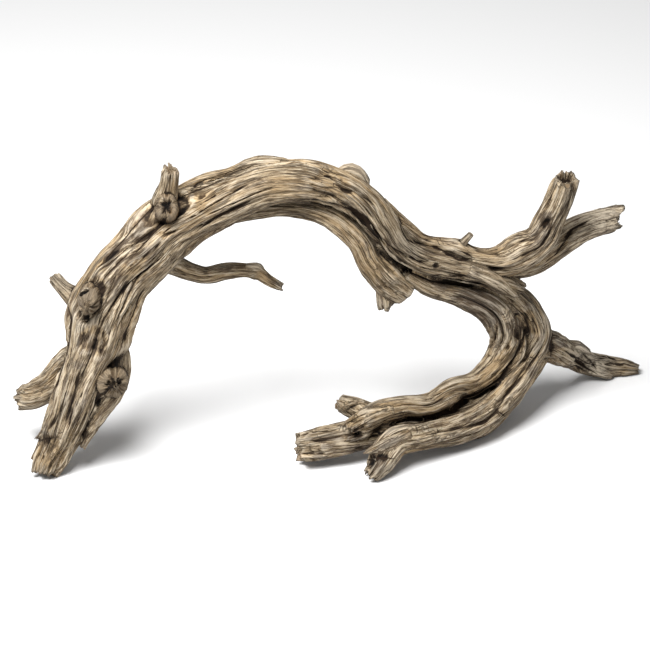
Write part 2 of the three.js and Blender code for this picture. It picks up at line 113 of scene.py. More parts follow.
STRANDS = [
    dict(
        name="leg and arch", furrows=7, depth=0.2, turn=2.2, start_jag=3, start_hollow=5, end_jag=3,
        start_split=46, relief=0.75, furrow_depth=0.15,
        stations=[
            [-280.5, 6.5, 5, 13.5], [-274, 21, 9, 17.5], [-265, 39, 13, 20], [-253, 64, 19, 24],
            [-241, 94, 26, 29], [-229.5, 128, 33, 32.5], [-221.5, 166, 40, 34.5], [-205, 199, 46, 32],
            [-180, 227, 50, 32], [-155, 252.5, 53, 31.5], [-124.5, 268, 55, 26], [-90, 282, 57, 24],
            [-55, 294, 58, 22.5], [-20, 296, 59, 21.5], [12, 289, 60, 20], [39, 274, 62, 18],
            [58, 253, 66, 17], [75, 232, 72, 15.5], [97, 218, 79, 14.5], [125, 211, 87, 14],
            [155, 204, 96, 13], [180, 195, 104, 11.5], [194, 189, 109, 9.5],
        ],
    ),
    dict(
        name="strand under the arch", furrows=4, depth=0.18, turn=3, end_hollow=-6,
        stations=[
            [-103, 258, 60, 6], [-70, 266, 61, 8], [-35, 270, 62, 9.5], [-5, 265, 63, 11.5],
            [16, 254, 65, 13.5], [34, 238, 68, 14], [46, 219, 72, 14.5], [61, 202, 77, 18],
            [80, 188, 82, 15.5],
        ],
    ),
    dict(
        name="crest behind the arch", furrows=4, depth=0.2, turn=2, start_jag=2,
        stations=[
            [-155, 281, 66, 7], [-125, 294, 70, 9.5], [-95, 302, 72, 9.5], [-62, 311.5, 73, 11],
            [-25, 305, 72, 11], [15, 294, 74, 11], [42, 278, 77, 9],
        ],
    ),
    dict(
        name="lump on the crest", furrows=5, depth=0.16, turn=0, start_hollow=-4, end_hollow=-5,
        stations=[[10, 294.5, 84, 8.5], [25, 300.5, 84, 14], [38, 291, 84, 10]],
    ),
    dict(
        name="back of the S", furrows=4, depth=0.18, turn=2,
        stations=[
            [5, 288, 70, 14], [36, 266, 76, 17], [60, 240, 83, 17], [88, 220, 92, 16],
            [122, 209, 102, 15], [152, 197, 111, 13], [172, 186, 118, 9],
        ],
    ),
    dict(
        name="inner strand of the hook", furrows=5, depth=0.18, turn=3, end_jag=4, end_hollow=3,
        stations=[
            [80, 208, 80, 11], [107, 194, 90, 13.5], [140, 185, 102, 16], [172, 168, 114, 20],
            [183, 141, 121, 19], [175, 117, 114, 16.5], [154, 96, 97, 13], [128, 86, 78, 13.5],
            [105, 73, 61, 13], [75, 70, 46, 12.5], [48, 61, 34, 14.5], [27, 48, 25, 11.5],
        ],
    ),
    dict(
        name="outer strand of the hook", furrows=5, depth=0.18, turn=3, start_jag=3, end_jag=4, end_hollow=6,
        stations=[
            [145, 200, 106, 10], [176, 186, 115, 13], [200, 169, 125, 15], [213, 143, 130, 14],
            [203, 116, 122, 14], [184, 88, 100, 15], [163, 65, 77, 14.5], [134, 50, 55, 15.5],
            [100, 44, 38, 15.5], [70, 37, 21, 16.5], [55, 15.5, 4, 14], [46, 3, -2, 10],
        ],
    ),
    dict(
        name="heart of the hook", furrows=5, depth=0.16, turn=2,
        stations=[
            [82, 218, 84, 11], [115, 198, 101, 15], [155, 181, 122, 19], [184, 159, 138, 24],
            [193, 133, 143, 25], [182, 103, 130, 23], [157, 78, 104, 19], [125, 64, 79, 16],
            [90, 54, 57, 14], [60, 48, 44, 12],
        ],
    ),
    dict(
        name="back ridge of the hook", furrows=3, depth=0.2, turn=2, end_jag=3,
        stations=[
            [218, 146, 146, 12.5], [211, 120, 140, 10.5], [194, 94, 124, 10.5], [178, 72, 102, 10.5],
            [157, 52.5, 80, 11], [130, 44, 60, 9.5],
        ],
    ),
    dict(
        name="heel", furrows=4, depth=0.15, turn=2, end_jag=3, end_hollow=3,
        stations=[
            [75, 50, 48, 13], [40, 44, 40, 16], [10, 38, 32, 18], [-13, 33, 27, 17.5],
            [-26, 31, 24, 16],
        ],
    ),
    dict(
        name="knuckle over the heel", furrows=3, depth=0.12, turn=0, end_hollow=-3, end_jag=3,
        stations=[[45, 62, 46, 14], [28, 70, 48, 12], [15, 75, 49, 10]],
    ),
    dict(
        name="back strand and upper fork", furrows=5, depth=0.18, turn=3, end_jag=2, end_hollow=8,
        stations=[
            [54, 272, 80, 10.5], [78, 247.5, 86, 11.5], [98, 233, 92, 11], [126, 227, 97, 12],
            [153, 218, 102, 13], [175, 217, 105, 16.5], [195, 226.5, 107, 19.5], [214, 239, 106, 17],
            [226, 261, 104, 15], [235, 282, 101, 14], [242, 301, 98, 12.5],
        ],
    ),
    dict(
        name="lower fork", furrows=4, depth=0.18, turn=2, end_jag=5, end_hollow=5,
        grows_from="back strand and upper fork",
        stations=[
            [178, 211, 112, 13], [205, 217, 119, 15.5], [228, 231.5, 126, 16], [250, 246.5, 133, 16],
            [272, 255, 140, 14.5], [293, 261, 146, 13.5],
        ],
    ),
    dict(
        name="twig by the fork", furrows=3, depth=0.1, turn=0, grows_from="back strand and upper fork",
        stations=[[131, 228, 100, 7], [138, 236, 99, 5], [146, 244, 98, 3.2]],
    ),
    dict(
        name="tail", furrows=4, depth=0.2, turn=2, end_jag=2, grows_from="heart of the hook",
        stations=[
            [205, 136, 134, 20], [226, 131, 154, 17], [246, 122, 178, 13.5], [265, 114, 194, 12],
            [283, 111.5, 201, 11.5], [299, 110.5, 203.5, 9], [313, 109, 204, 5],
        ],
    ),
    dict(
        name="horn on the shoulder", furrows=4, depth=0.14, turn=2, end_jag=1.4, end_hollow=2,
        grows_from="leg and arch",
        stations=[[-163, 252, 52, 16], [-160, 274, 50, 15], [-156, 293, 46, 10], [-154, 309, 42, 9]],
    ),
    dict(
        name="peg on the leg", furrows=3, depth=0.12, turn=0, end_jag=2, end_hollow=2,
        grows_from="leg and arch",
        stations=[[-236, 171, 44, 18], [-250, 181, 50, 12], [-262, 191, 54, 8], [-271, 201, 57, 7]],
    ),
    dict(
        name="spur on the leg", furrows=4, depth=0.15, turn=2, end_jag=2, end_hollow=2, end_split=9,
        grows_from="leg and arch",
        stations=[
            [-244, 125, 42, 17], [-262, 107, 50, 16], [-278, 91.5, 57, 15], [-294, 82, 62, 14.5],
            [-306, 80.5, 65, 13.5],
        ],
    ),
    dict(
        name="upper splinter of the foot", furrows=3, depth=0.2, turn=0, end_jag=3,
        stations=[[-259, 64, 20, 10], [-275, 50, 15, 7.5], [-287, 40, 11, 4]],
    ),
    dict(
        name="outer splinter of the foot", furrows=3, depth=0.2, turn=0, end_jag=3,
        stations=[[-262, 50, 16, 11], [-279, 32, 11, 8.5], [-291, 18, 8, 4.5]],
    ),
    dict(
        name="front splinter of the foot", furrows=3, depth=0.2, turn=0, end_jag=3,
        stations=[[-256, 50, 6, 9], [-268, 32, 2, 9], [-277, 17, -2, 5]],
    ),
    dict(
        name="tongue beside the leg", furrows=3, depth=0.16, turn=1, end_jag=3, end_split=30,
        stations=[
            [-209, 135, 36, 12], [-207, 110, 30, 13.5], [-213, 88, 25, 13], [-226, 69, 20, 12],
            [-237, 51, 15, 10], [-245.5, 33, 10, 7],
        ],
    ),
    dict(
        name="side branch under the arch", furrows=4, depth=0.16, turn=4, end_jag=2, end_split=16,
        grows_from="leg and arch",
        stations=[
            [-165, 220, 60, 14], [-148, 212, 70, 10.5], [-133, 206, 77, 9.5], [-118, 203, 82, 9],
            [-100, 207, 85, 8.5], [-80, 208, 87, 7], [-66, 205, 88, 7.5], [-55, 197, 88, 6],
            [-44, 191, 88, 4.8],
        ],
    ),
    dict(
        name="fluted stub under the S", furrows=4, depth=0.22, turn=0, end_jag=2, end_split=6,
        grows_from="strand under the arch",
        stations=[[60, 200, 78, 10], [60, 184, 77, 10], [61, 171, 76, 9]],
    ),
    dict(
        name="upper knot on the leg", furrows=4, depth=0.06, turn=0, end_hollow=-2, end_jag=2, oval=1.25,
        relief=0.35, knot=True, grows_from="leg and arch",
        stations=[[-232, 182, 32, 13], [-235, 179, 14, 12], [-237, 175, 3, 11], [-238, 172, -4, 8]],
    ),
    dict(
        name="lower knot on the leg", furrows=4, depth=0.08, turn=0, end_hollow=-4, end_jag=2, relief=0.35,
        knot=True, grows_from="leg and arch",
        stations=[[-214, 98, 28, 18], [-213, 97, 10, 16.5], [-212, 95, -1, 15.5], [-211, 94, -7, 11]],
    ),
    dict(
        name="knot under the horn", furrows=4, depth=0.08, turn=0, end_hollow=6, end_jag=1.5, chunks=2,
        oval=1.35, relief=0.35, knot=True, grows_from="leg and arch",
        stations=[
            [-158, 268, 46, 13], [-158, 270, 34, 11.5], [-158, 271, 27, 10.5], [-158, 272, 22, 8],
        ],
    ),
]

# Splinters and lumps that stand a little out of the strands.
SPLINTERS = [
    dict(
        name="lip over the front foot", furrows=3, depth=0.18, turn=0, end_jag=3,
        stations=[[83, 42, 22, 9], [63, 33, 8, 8.5], [44, 24, 4, 5.5]],
    ),
    dict(
        name="upper splinter of the inner end", furrows=3, depth=0.2, turn=0, end_jag=3,
        stations=[[67, 67, 37, 7], [39, 63, 29, 6.5], [20, 54, 27, 3.5]],
    ),
    dict(
        name="lower splinter of the inner end", furrows=3, depth=0.2, turn=0, end_jag=3,
        stations=[[63, 52, 36, 7], [39, 45, 24, 6], [23, 38, 19, 3.5]],
    ),
    dict(
        name="end of the ridge of the S", furrows=3, depth=0.2, turn=0, end_jag=3,
        stations=[[143, 208, 84, 7], [172, 196, 90, 7], [191, 182, 99, 4]],
    ),
    dict(
        name="bump on the tail", furrows=3, depth=0.16, turn=0, end_jag=2,
        stations=[[241, 131, 163, 7], [251, 132, 172, 6.5], [263, 125, 186, 5]],
    ),
    dict(
        name="lower lobe of the tail", furrows=3, depth=0.16, turn=0, end_jag=2,
        stations=[[258, 112, 185, 7], [274, 107, 189, 6.5], [287, 103, 193, 5]],
    ),
    dict(
        name="layer of the knuckle", furrows=3, depth=0.16, turn=0, end_jag=2,
        stations=[[39, 74, 47, 5.5], [25, 73, 44, 5], [17, 69, 41, 3]],
    ),
    dict(
        name="splinter of the side branch", furrows=3, depth=0.16, turn=0, end_jag=2,
        stations=[[-79, 211, 86, 4.5], [-67, 210, 86, 5], [-58, 205, 88, 3]],
    ),
]

# Crevices between the strands and cracks along the grain: the stations [across, up, back, width] of
# their middle lines at the skin.
CREVICES = {
    "behind the arch": [
        [-147, 279, 48, 1.2], [-133, 287, 49, 1.8], [-117, 294, 51, 2], [-100, 302, 54, 2],
        [-82, 308, 55, 1.8], [-66, 315, 58, 1.2],
    ],
    "across the lower knot": [
        [-198, 100, -2, 1.6], [-207, 97, -6, 2.6], [-214, 92, -6, 2.6], [-218, 86, -4, 2.2],
        [-224, 81, 0, 1.6],
    ],
    "under the ridge of the S": [
        [-29, 277.5, 39.6, 2], [-5, 276, 40.7, 2.8], [13, 272.5, 44.3, 3.2], [27, 266, 48, 3.5],
        [40, 257, 47.2, 3.6], [51, 241, 58.9, 3.6], [62, 226, 65.3, 3.6], [75, 214, 70, 3.6],
        [90, 203, 72.4, 3.5], [107, 197, 78.1, 3.2], [130, 195.5, 88.6, 3.2], [153, 193, 83, 3.1],
        [172, 186, 95.9, 2.2],
    ],
    "along the hook": [
        [180, 181, 106, 1.7], [192, 169, 108.9, 2.2], [201, 160, 113.7, 2.5], [203, 149, 116.5, 2.6],
        [198, 136, 110.4, 2.6], [192, 125, 106.6, 2.6], [185, 112, 102.3, 2.6], [177, 102, 97.2, 2.7],
        [168, 93, 90.6, 3], [156, 86, 82, 3.3], [143, 80, 72.8, 3.3], [130, 68, 68.7, 3],
        [115, 63, 57.8, 2.7], [97, 58, 44.7, 2.6], [77, 57, 37, 2.6], [63, 55, 29, 2.7],
        [53, 47, 26.2, 3.2], [43, 38, 25.2, 3.5],
    ],
    "between the leg and the spur": [
        [-258, 178, 43.3, 1.8], [-256, 158, 28.5, 2.4], [-258, 138, 24.9, 2.6], [-263, 118, 23.3, 3],
        [-269, 100, 20.7, 3.4], [-274, 86, 18.7, 3.6],
    ],
    "between the leg and the tongue": [
        [-224, 84, 8.3, 2], [-228, 73, 7.7, 3], [-233, 60, 6.8, 3.4], [-239, 46, 5.4, 3.2],
        [-245, 32, 4.2, 2.6],
    ],
    "over the eye of the S": [
        [54, 242, 50.1, 1.4], [63, 232, 53.9, 2], [71, 226.5, 57.3, 2.2], [83, 220.5, 60.5, 2],
        [95, 217, 63.6, 1.8], [108, 216, 69.3, 1.4],
    ],
    "behind the ridge of the S": [
        [73, 267, 82.1, 1.5], [78, 250, 63.6, 2], [84, 239, 64.1, 2.1], [95, 234, 73.1, 2],
        [111, 231, 84.6, 1.9], [123, 225, 85.1, 2], [135, 219, 83.3, 2.1], [152, 218, 89.9, 1.7],
    ],
    "under the fork": [[160, 211, 90.5, 1], [172, 209, 90.4, 1.7], [184, 210, 90.1, 1.2]],
    "between the forks": [
        [188, 219, 88.9, 1.2], [202, 224, 88.7, 2], [215, 230, 89.2, 2.4], [224, 242, 89.8, 2.4],
        [228, 257, 89.1, 1.5],
    ],
    "crack of the lower fork": [
        [216, 212, 105.6, 1.2], [231, 223, 110, 1.8], [239, 235, 114.7, 2.4], [246, 249, 121.9, 3],
        [257, 254, 125.1, 3], [269, 260, 130.1, 1.6],
    ],
    "outer groove of the hook": [
        [205, 126, 114.9, 1.2], [201, 114, 108.5, 1.6], [191, 95, 95.9, 1.8], [180, 82, 83.9, 1.8],
        [172, 67, 69.1, 2], [160, 55, 55.6, 2], [140, 51, 44.6, 1.8], [117, 46, 32.3, 1.6],
        [95, 42, 20.6, 1.2],
    ],
    "check across the hook": [[169, 70, 71.6, 1.4], [176, 65, 69.7, 1.8], [182, 60, 69, 1.6]],
    "under the front foot": [[40, 18, 3, 3.4], [53, 20, -2.2, 4.2], [71, 19, -0.7, 2.6]],
    "over the upper knot": [
        [-225, 194, 19.8, 1.6], [-218, 205, 21.9, 2.2], [-207, 216, 22.5, 1.8], [-193, 228, 22.7, 1.2],
    ],
    "down the right of the leg": [
        [-178, 194, 26.1, 1.2], [-186, 178, 27, 1.8], [-193, 158, 22.3, 2.2], [-199, 142, 18.3, 2.2],
        [-205, 126, 14.3, 1.8],
    ],
    "across the foot": [[-288, 37, 11.7, 1.4], [-279, 38, 0.2, 2], [-268, 41, -3.3, 1.2]],
    "beside the tail": [[228, 147, 143.1, 1.8], [228, 133, 134.1, 2.8], [226, 120, 129.3, 2]],
    "along the tail": [[247, 114, 161.1, 1.2], [256, 108, 172.8, 1.8], [265, 104, 181.2, 1.4]],
    "crack of the upper fork": [[233, 297, 89, 1], [226, 283, 91.3, 1.4], [220, 269, 92.9, 1]],
    "upper line of the tail": [
        [241, 127, 149, 1.4], [252, 118, 167, 2], [263, 109, 179.6, 2.2], [275, 102, 187.5, 1.4],
    ],
    "middle line of the tail": [[257, 126, 173.8, 1.2], [265, 118, 179.5, 2], [273, 108, 186.5, 1.6]],
    "top line of the tail": [[271, 120.5, 189.5, 1.2], [281, 120.5, 201.9, 1.6], [295, 119, 205.9, 1]],
    "end line of the tail": [[279, 116, 191.5, 1.2], [293, 114, 195.9, 1.6], [309, 113, 201.4, 1]],
    "hole of the upper fork": [[215, 251, 93.9, 2.6], [221, 254, 91.6, 3.4], [227, 260, 89.5, 2.4]],
    "hole on the shoulder of the S": [[36, 281, 47.1, 2], [43, 278, 47.2, 2.6], [50, 272, 47.9, 1.8]],
    "first pit of the hook": [[190, 164, 104.6, 3], [194, 161, 109.6, 3]],
    "second pit of the hook": [[194, 152, 106.4, 3.2], [196, 149, 109.2, 3]],
    "third pit of the hook": [[189, 142, 101.8, 2.8], [195, 140, 108, 2.8]],
    "small hole by the tail": [[206, 156, 117.9, 2], [209, 155.5, 113.1, 2]],
    "crack on the arch": [[-3, 302, 47.3, 1.6], [5, 301, 47.6, 2.2], [13, 295, 46.8, 1.6]],
    "second crack on the arch": [[15, 289, 44.6, 1.6], [24, 286, 46.7, 2.2], [32, 287, 47, 1.6]],
    "third crack on the arch": [[-3, 290, 40.3, 1.2], [9, 291, 43.9, 1.6], [17, 290, 46.1, 1]],
    "under the eye": [
        [99, 201, 83.2, 1.2], [115, 202, 70.5, 1.6], [130, 202.5, 76.7, 1.8], [145, 201, 82.3, 1.2],
    ],
    "beside the twig": [[132, 228, 88, 1.4], [142, 225, 89.7, 2], [151, 219, 90, 1.6]],
    "outer crack of the knuckle": [[20, 66, 39.2, 1.4], [27, 71, 39.3, 1.8], [37, 75, 43.8, 1.2]],
    "hollow of the inner end": [[27, 48, 26.6, 2.2], [32, 42, 21.7, 2.8], [39, 42, 19.1, 2]],
    "crack of the inner end": [[20, 54, 21.5, 1.2], [29, 58, 22.9, 1.8], [43, 66, 27, 1.2]],
    "crack of the heel": [[-22, 46, 10, 1.2], [-5, 47, 16, 1.6], [15, 48, 22, 1.2]],
    "second crack of the heel": [[-19, 37, 15.9, 1.2], [-3, 38, 17, 1.6], [11, 37, 17.3, 1]],
    "first check of the hook": [[90, 54, 29, 1], [93, 48, 23.4, 1.4], [92, 43, 19.8, 1]],
    "second check of the hook": [[111, 50, 32.4, 1], [115, 46, 31.5, 1.4]],
    "third check of the hook": [[200, 124, 115.6, 1.2], [205, 121, 112.3, 1.6], [210, 119, 114.7, 1]],
    "dark bed of the leg": [[-243, 110, 6.2, 1.4], [-248, 98, 4, 2], [-250, 86, 2.5, 1.4]],
    "second bed of the leg": [[-253, 73, 0.9, 1.2], [-255, 60, -1.3, 2], [-257, 46, -4.9, 1.4]],
    "lower bed of the leg": [[-265, 46, -2.7, 1], [-273, 32, -4.5, 1.6], [-279, 20, -5.7, 1.2]],
    "upper line of the foot": [[-261, 78, 1.6, 1], [-269, 62, 1.8, 1.6], [-277, 46, 3.3, 1.2]],
    "fold beside the horn": [
        [-165, 279, 30.3, 1.4], [-177, 266, 43.6, 2], [-194, 250, 41.3, 2.2], [-211, 228, 38.9, 2],
        [-222, 212, 35.7, 1.4],
    ],
    "second fold beside the horn": [
        [-153, 265, 19.1, 1.2], [-167, 252, 25.8, 1.8], [-182, 235, 22.1, 1.8], [-197, 216, 18.9, 1.4],
    ],
    "line over the arch": [
        [-143, 285, 51, 1.2], [-122, 297, 64.2, 1.8], [-97, 306, 66.1, 1.8], [-75, 315, 67.6, 1.2],
    ],
    "line on the arch": [
        [-135, 242, 26.8, 1.2], [-111, 259, 32.1, 1.6], [-85, 271, 35.7, 1.6], [-63, 278, 36.9, 1.2],
    ],
    "line down the leg": [
        [-207, 210, 19.8, 1.2], [-217, 183, 18, 1.6], [-225, 156, 14.6, 1.8], [-233, 132, 10.7, 1.4],
    ],
    "line on the leg": [
        [-197, 200, 20.5, 1], [-205, 175, 13.3, 1.4], [-214, 148, 6.8, 1.4], [-221, 126, 2.2, 1],
    ],
}

# Hollows rotted into the wood, their insides darkened with painted shade: [across, up, back, radius].
HOLLOWS = [
    [112, 212, 68, 5], [143, 77, 64, 10], [-241, 186, 7, 6], [-240, 160, 12, 5], [-204, 95, -9, 4],
    [-164, 276, 23, 5.5], [43, 14, -4, 5.5], [240, 293, 79, 14], [242, 301, 92, 6], [294, 258, 140, 4.5],
]

# How the wood is tinted from place to place: [across, up, radius, value]. Above zero it is warm, and
# below zero bleached.
TINTS = [
    [5, 296, 30, 0.7], [65, 275, 30, 0.3], [185, 130, 60, 0.35], [100, 60, 55, 0.45], [20, 45, 14, 0.6],
    [-262, 40, 25, 0.5], [-120, 250, 50, 0.2], [275, 262, 35, -0.7], [222, 155, 16, -0.8],
    [130, 238, 22, -0.5], [-262, 195, 15, -0.5], [-225, 130, 50, -0.3], [75, 240, 13, -0.5],
    [90, 226, 13, -0.5], [150, 201, 14, -0.5], [275, 115, 25, -0.9], [250, 126, 14, -0.5],
    [-80, 290, 30, -0.4],
]

# Dark stains on the side that is seen, some of them painted shadow (under the ridge of the S, at the root of
# the tail): [across, up, radius, strength].
STAINS_AND_SHADOWS = [
    [-210, 213, 9, 0.6], [-239, 182, 9, 0.9], [-158, 272, 9, 0.8], [-209, 92, 11, 0.5],
    [-181, 262, 12, 0.6], [-192, 249, 10, 0.5], [-178, 225, 9, 0.7], [-203, 193, 9, 0.5],
    [-232, 135, 9, 0.6], [-243, 113, 8, 0.6], [-255, 78, 11, 0.6], [-253, 62, 9, 0.5], [-220, 128, 8, 0.5],
    [-245, 150, 9, 0.4], [-288, 40, 10, 0.7], [228, 133, 10, 1], [212, 130, 7, 0.8], [208, 108, 9, 0.7],
    [185, 73, 9, 0.5], [223, 256, 9, 0.9], [215, 240, 10, 0.8], [250, 258, 8, 0.8], [30, 43, 10, 0.8],
    [53, 16, 13, 0.9], [172, 160, 9, 0.6], [190, 150, 12, 0.4], [70, 45, 10, 0.6], [145, 178, 16, 0.8],
    [165, 170, 13, 0.9], [115, 188, 11, 0.7], [5, 38, 18, 0.4], [245, 108, 9, 0.6], [60, 180, 12, 0.5],
    [-20, 282, 14, 0.4],
]

# Zones where the wood has checked across the grain: [across, up, radius, strength].
CHECKED = [
    [185, 155, 28, 1], [110, 48, 40, 0.7], [165, 75, 25, 0.7], [5, 292, 20, 0.8], [-275, 35, 18, 1],
    [60, 190, 20, 0.8], [30, 50, 18, 0.9], [260, 115, 25, 0.8],
]

# Places where the outer wood has broken away in scales: [across, up, back, radius].
WORN = [
    [5, 292, 42, 18], [-120, 277, 32, 15], [-163, 250, 22, 10], [-184, 260, 42, 13], [-232, 136, 2, 14],
    [30, 52, 16, 14], [205, 150, 108, 16], [-275, 25, -4, 16], [255, 115, 175, 12], [-58, 200, 82, 11],
    [290, 110, 195, 12],
]


# Smooth random fields

def lattice(ix, iy, iz, seed):
    """A scrambled whole number for each point of a grid."""
    h = ix.astype(np.uint32) * np.uint32(0x8DA6B343)
    h ^= iy.astype(np.uint32) * np.uint32(0xD8163841)
    h ^= iz.astype(np.uint32) * np.uint32(0xCB1AB31F)
    h ^= np.uint32((seed * 0x9E3779B1) & 0xFFFFFFFF)
    h ^= h >> np.uint32(15)
    h *= np.uint32(0x2C1B3C6D)
    h ^= h >> np.uint32(12)
    h *= np.uint32(0x297A2D39)
    return h ^ (h >> np.uint32(15))


def noise(x, y, z, seed):
    """Gradient noise, about -0.8 to 0.8, over arrays of one shape."""
    x, y, z = np.broadcast_arrays(x, y, z)
    cell = [np.floor(a).astype(np.int64) for a in (x, y, z)]
    part = [a - c for a, c in zip((x, y, z), cell)]
    fade = [p * p * p * (p * (6 * p - 15) + 10) for p in part]
    total = np.zeros(x.shape)
    for dx in (0, 1):
        for dy in (0, 1):
            for dz in (0, 1):
                h = lattice(cell[0] + dx, cell[1] + dy, cell[2] + dz, seed)
                gx = (h & np.uint32(1023)) / 511.5 - 1
                gy = ((h >> np.uint32(10)) & np.uint32(1023)) / 511.5 - 1
                gz = ((h >> np.uint32(20)) & np.uint32(1023)) / 511.5 - 1
                slope = gx * (part[0] - dx) + gy * (part[1] - dy) + gz * (part[2] - dz)
                weight = (fade[0] if dx else 1 - fade[0]) * (fade[1] if dy else 1 - fade[1])
                total += slope * weight * (fade[2] if dz else 1 - fade[2])
    return total


def furrow_field(x, y, z, seed):
    """Rounded crests with sharp valleys between them, 0 in a valley and 1 on a crest."""
    return np.clip(2.3 * np.abs(noise(x, y, z, seed)), 0, 1)


def step_up(low, high, value):
    """0 below low, 1 above high, smooth between."""
    t = np.clip((value - low) / (high - low), 0, 1)
    return t * t * (3 - 2 * t)


def wander(value, seed):
    """A smooth wander between -1 and 1, different for every seed."""
    return 0.6 * np.sin(value + 1.7 * seed) + 0.4 * np.sin(1.9 * value + 2.3 * seed)


# Strands

def sighted(across, up, back):
    """A point of the set-out in the wood's own frame, and the factor by which sizes read there grow."""
    sheet = SHEET_UP * up + np.array([across, 0.0, 0.0])
    factor = (back - EYE[1]) / (sheet[1] - EYE[1])
    return EYE + (sheet - EYE) * factor, factor


def centre_line(stations, steps=40):
    """Close points [x, y, z, radius] on a smooth curve through the stations."""
    rows = []
    for across, up, back, radius in stations:
        point, factor = sighted(across, up, back)
        rows.append([*point, radius * factor])
    p = np.array(rows)
    p = np.vstack([2 * p[0] - p[1], p, 2 * p[-1] - p[-2]])
    gap = np.sqrt(np.linalg.norm(np.diff(p[:, :3], axis=0), axis=1))
    t = np.linspace(0, 1, steps, endpoint=False)[:, None]
    runs = []
    for i in range(1, len(p) - 2):
        a, b, c, d = p[i - 1:i + 3]
        before, here, after = gap[i - 1:i + 2]
        leave = (b - a) / before - (c - a) / (before + here) + (c - b) / here
        reach = (c - b) / here - (d - b) / (here + after) + (d - c) / after
        leave = leave * here
        reach = reach * here
        square = -3 * b + 3 * c - 2 * leave - reach
        cube = 2 * b - 2 * c + leave + reach
        runs.append(b + t * (leave + t * (square + t * cube)))
    return np.vstack([*runs, p[-2][None]])


class Strand:
    """One strand of the wood: its sections, its frame along the way and where it ends."""

    def __init__(self, facts, seed):
        self.facts = facts
        self.seed = seed
        self.name = facts["name"]
        line = centre_line(facts["stations"])
        travel = np.concatenate([[0], np.cumsum(np.linalg.norm(np.diff(line[:, :3], axis=0), axis=1))])
        self.length = travel[-1]
        count = max(5, int(round(self.length / CELL_ALONG)))
        self.along = np.linspace(0, self.length, count)
        self.centre = np.stack([np.interp(self.along, travel, line[:, k]) for k in range(3)], axis=1)
        self.radius = np.interp(self.along, travel, line[:, 3])
        self.girth = 0.5 * float(self.radius.mean() + self.radius.max())
        ahead = np.gradient(self.centre, self.along, axis=0)
        self.ahead = ahead / np.linalg.norm(ahead, axis=1, keepdims=True)
        guide = SHEET_UP if np.abs(self.ahead @ SIGHT).mean() > 0.8 else SIGHT
        inward = guide - self.ahead * (self.ahead @ guide)[:, None]
        self.inward = inward / np.linalg.norm(inward, axis=1, keepdims=True)
        self.aside = np.cross(self.inward, self.ahead)
        turn = facts["turn"] * self.along / 1000
        self.drift = turn + WANDER_ANGLE * wander(self.along / WANDER_LENGTH, seed)
        self.roots = []

    def outward(self, angle, oval=1.0):
        """The ways from the middle line to the skin at the angles given."""
        turned = (angle + self.drift[:, None])[..., None]
        return np.cos(turned) * self.aside[:, None] + oval * np.sin(turned) * self.inward[:, None]

    def note_root(self, branch):
        """Keeps where another strand breaks through this one's skin, so that the grain flows round it."""
        for point, radius in zip(branch.centre, branch.radius):
            away = np.linalg.norm(self.centre - point, axis=1)
            near = int(away.argmin())
            if away[near] > 0.85 * self.radius[near]:
                break
        side = point - self.centre[near]
        angle = math.atan2(side @ self.inward[near], side @ self.aside[near]) - self.drift[near]
        self.roots.append((self.along[near], angle, radius, branch.facts.get("knot", False)))

    def grain_angle(self, along, angle):
        """The angle of the fibre that passes a point: fibres part round every root and close behind it."""
        shift = np.zeros(np.broadcast(along, angle).shape)
        for at, root_angle, radius, _ in self.roots:
            across = (angle - root_angle + math.pi) % (2 * math.pi) - math.pi
            lengthwise = (along - at) / 1.9
            breadth = across * self.radius[:, None]
            part = (0.95 * radius) ** 2 / (lengthwise ** 2 + breadth ** 2 + 1)
            fade = (1 - (across / math.pi) ** 2) ** 2
            shift -= across * np.minimum(part, 0.42) * fade
        return angle + shift


def bundle_share(y, z, size, seed):
    """A share from 0 to 1 that is the same all over a bundle of fibres and differs from its neighbours'."""
    sway = 0.5 * noise(y / 6, z / 6, 0 * y + 2.5, seed)
    cell = [np.floor(a / size + sway).astype(np.int64) for a in (y, z)]
    return (lattice(cell[0], cell[1], 0 * cell[0], seed) & np.uint32(1023)) / 1023


def broad_furrows(strand, along, angle):
    """The height of the broad furrows above their mean, as a share of the radius."""
    facts, seed = strand.facts, strand.seed
    count = facts["furrows"]
    turns = (count * angle / (2 * math.pi)) % count
    furrow = np.round(turns) % count
    ridge = np.floor(turns) % count
    cut = 1 + 0.6 * wander(along / SWELL_LENGTH + 2 * furrow, seed)
    swell = 0.3 * wander(along / SWELL_LENGTH + 3 * ridge, seed + 5)
    height = np.sqrt(np.abs(np.sin(math.pi * turns)))
    return facts.get("furrow_depth", facts["depth"]) * ((height - 1) * cut + 0.3 + swell * height)


def root_swell(strand, along, angle):
    """How far the skin rises towards branches, and rings knots with a trench and a collar."""
    rise = np.zeros(np.broadcast(along, angle).shape)
    for at, root_angle, radius, knot in strand.roots:
        across = (angle - root_angle + math.pi) % (2 * math.pi) - math.pi
        far = np.hypot((along - at) / 1.35, across * strand.radius[:, None]) / radius
        rough = noise(along / 13, angle * strand.radius[:, None] / 9, 0 * along + at, strand.seed + 61)
        far = far + 0.2 * rough
        if knot:
            rise += 0.5 * np.exp(-((far - 1.6) / 0.32) ** 2) - 5.0 * np.exp(-((far - 1.08) / 0.2) ** 2)
        else:
            rise += 1.6 * np.exp(-((far - 0.9) / 0.6) ** 2)
    return rise


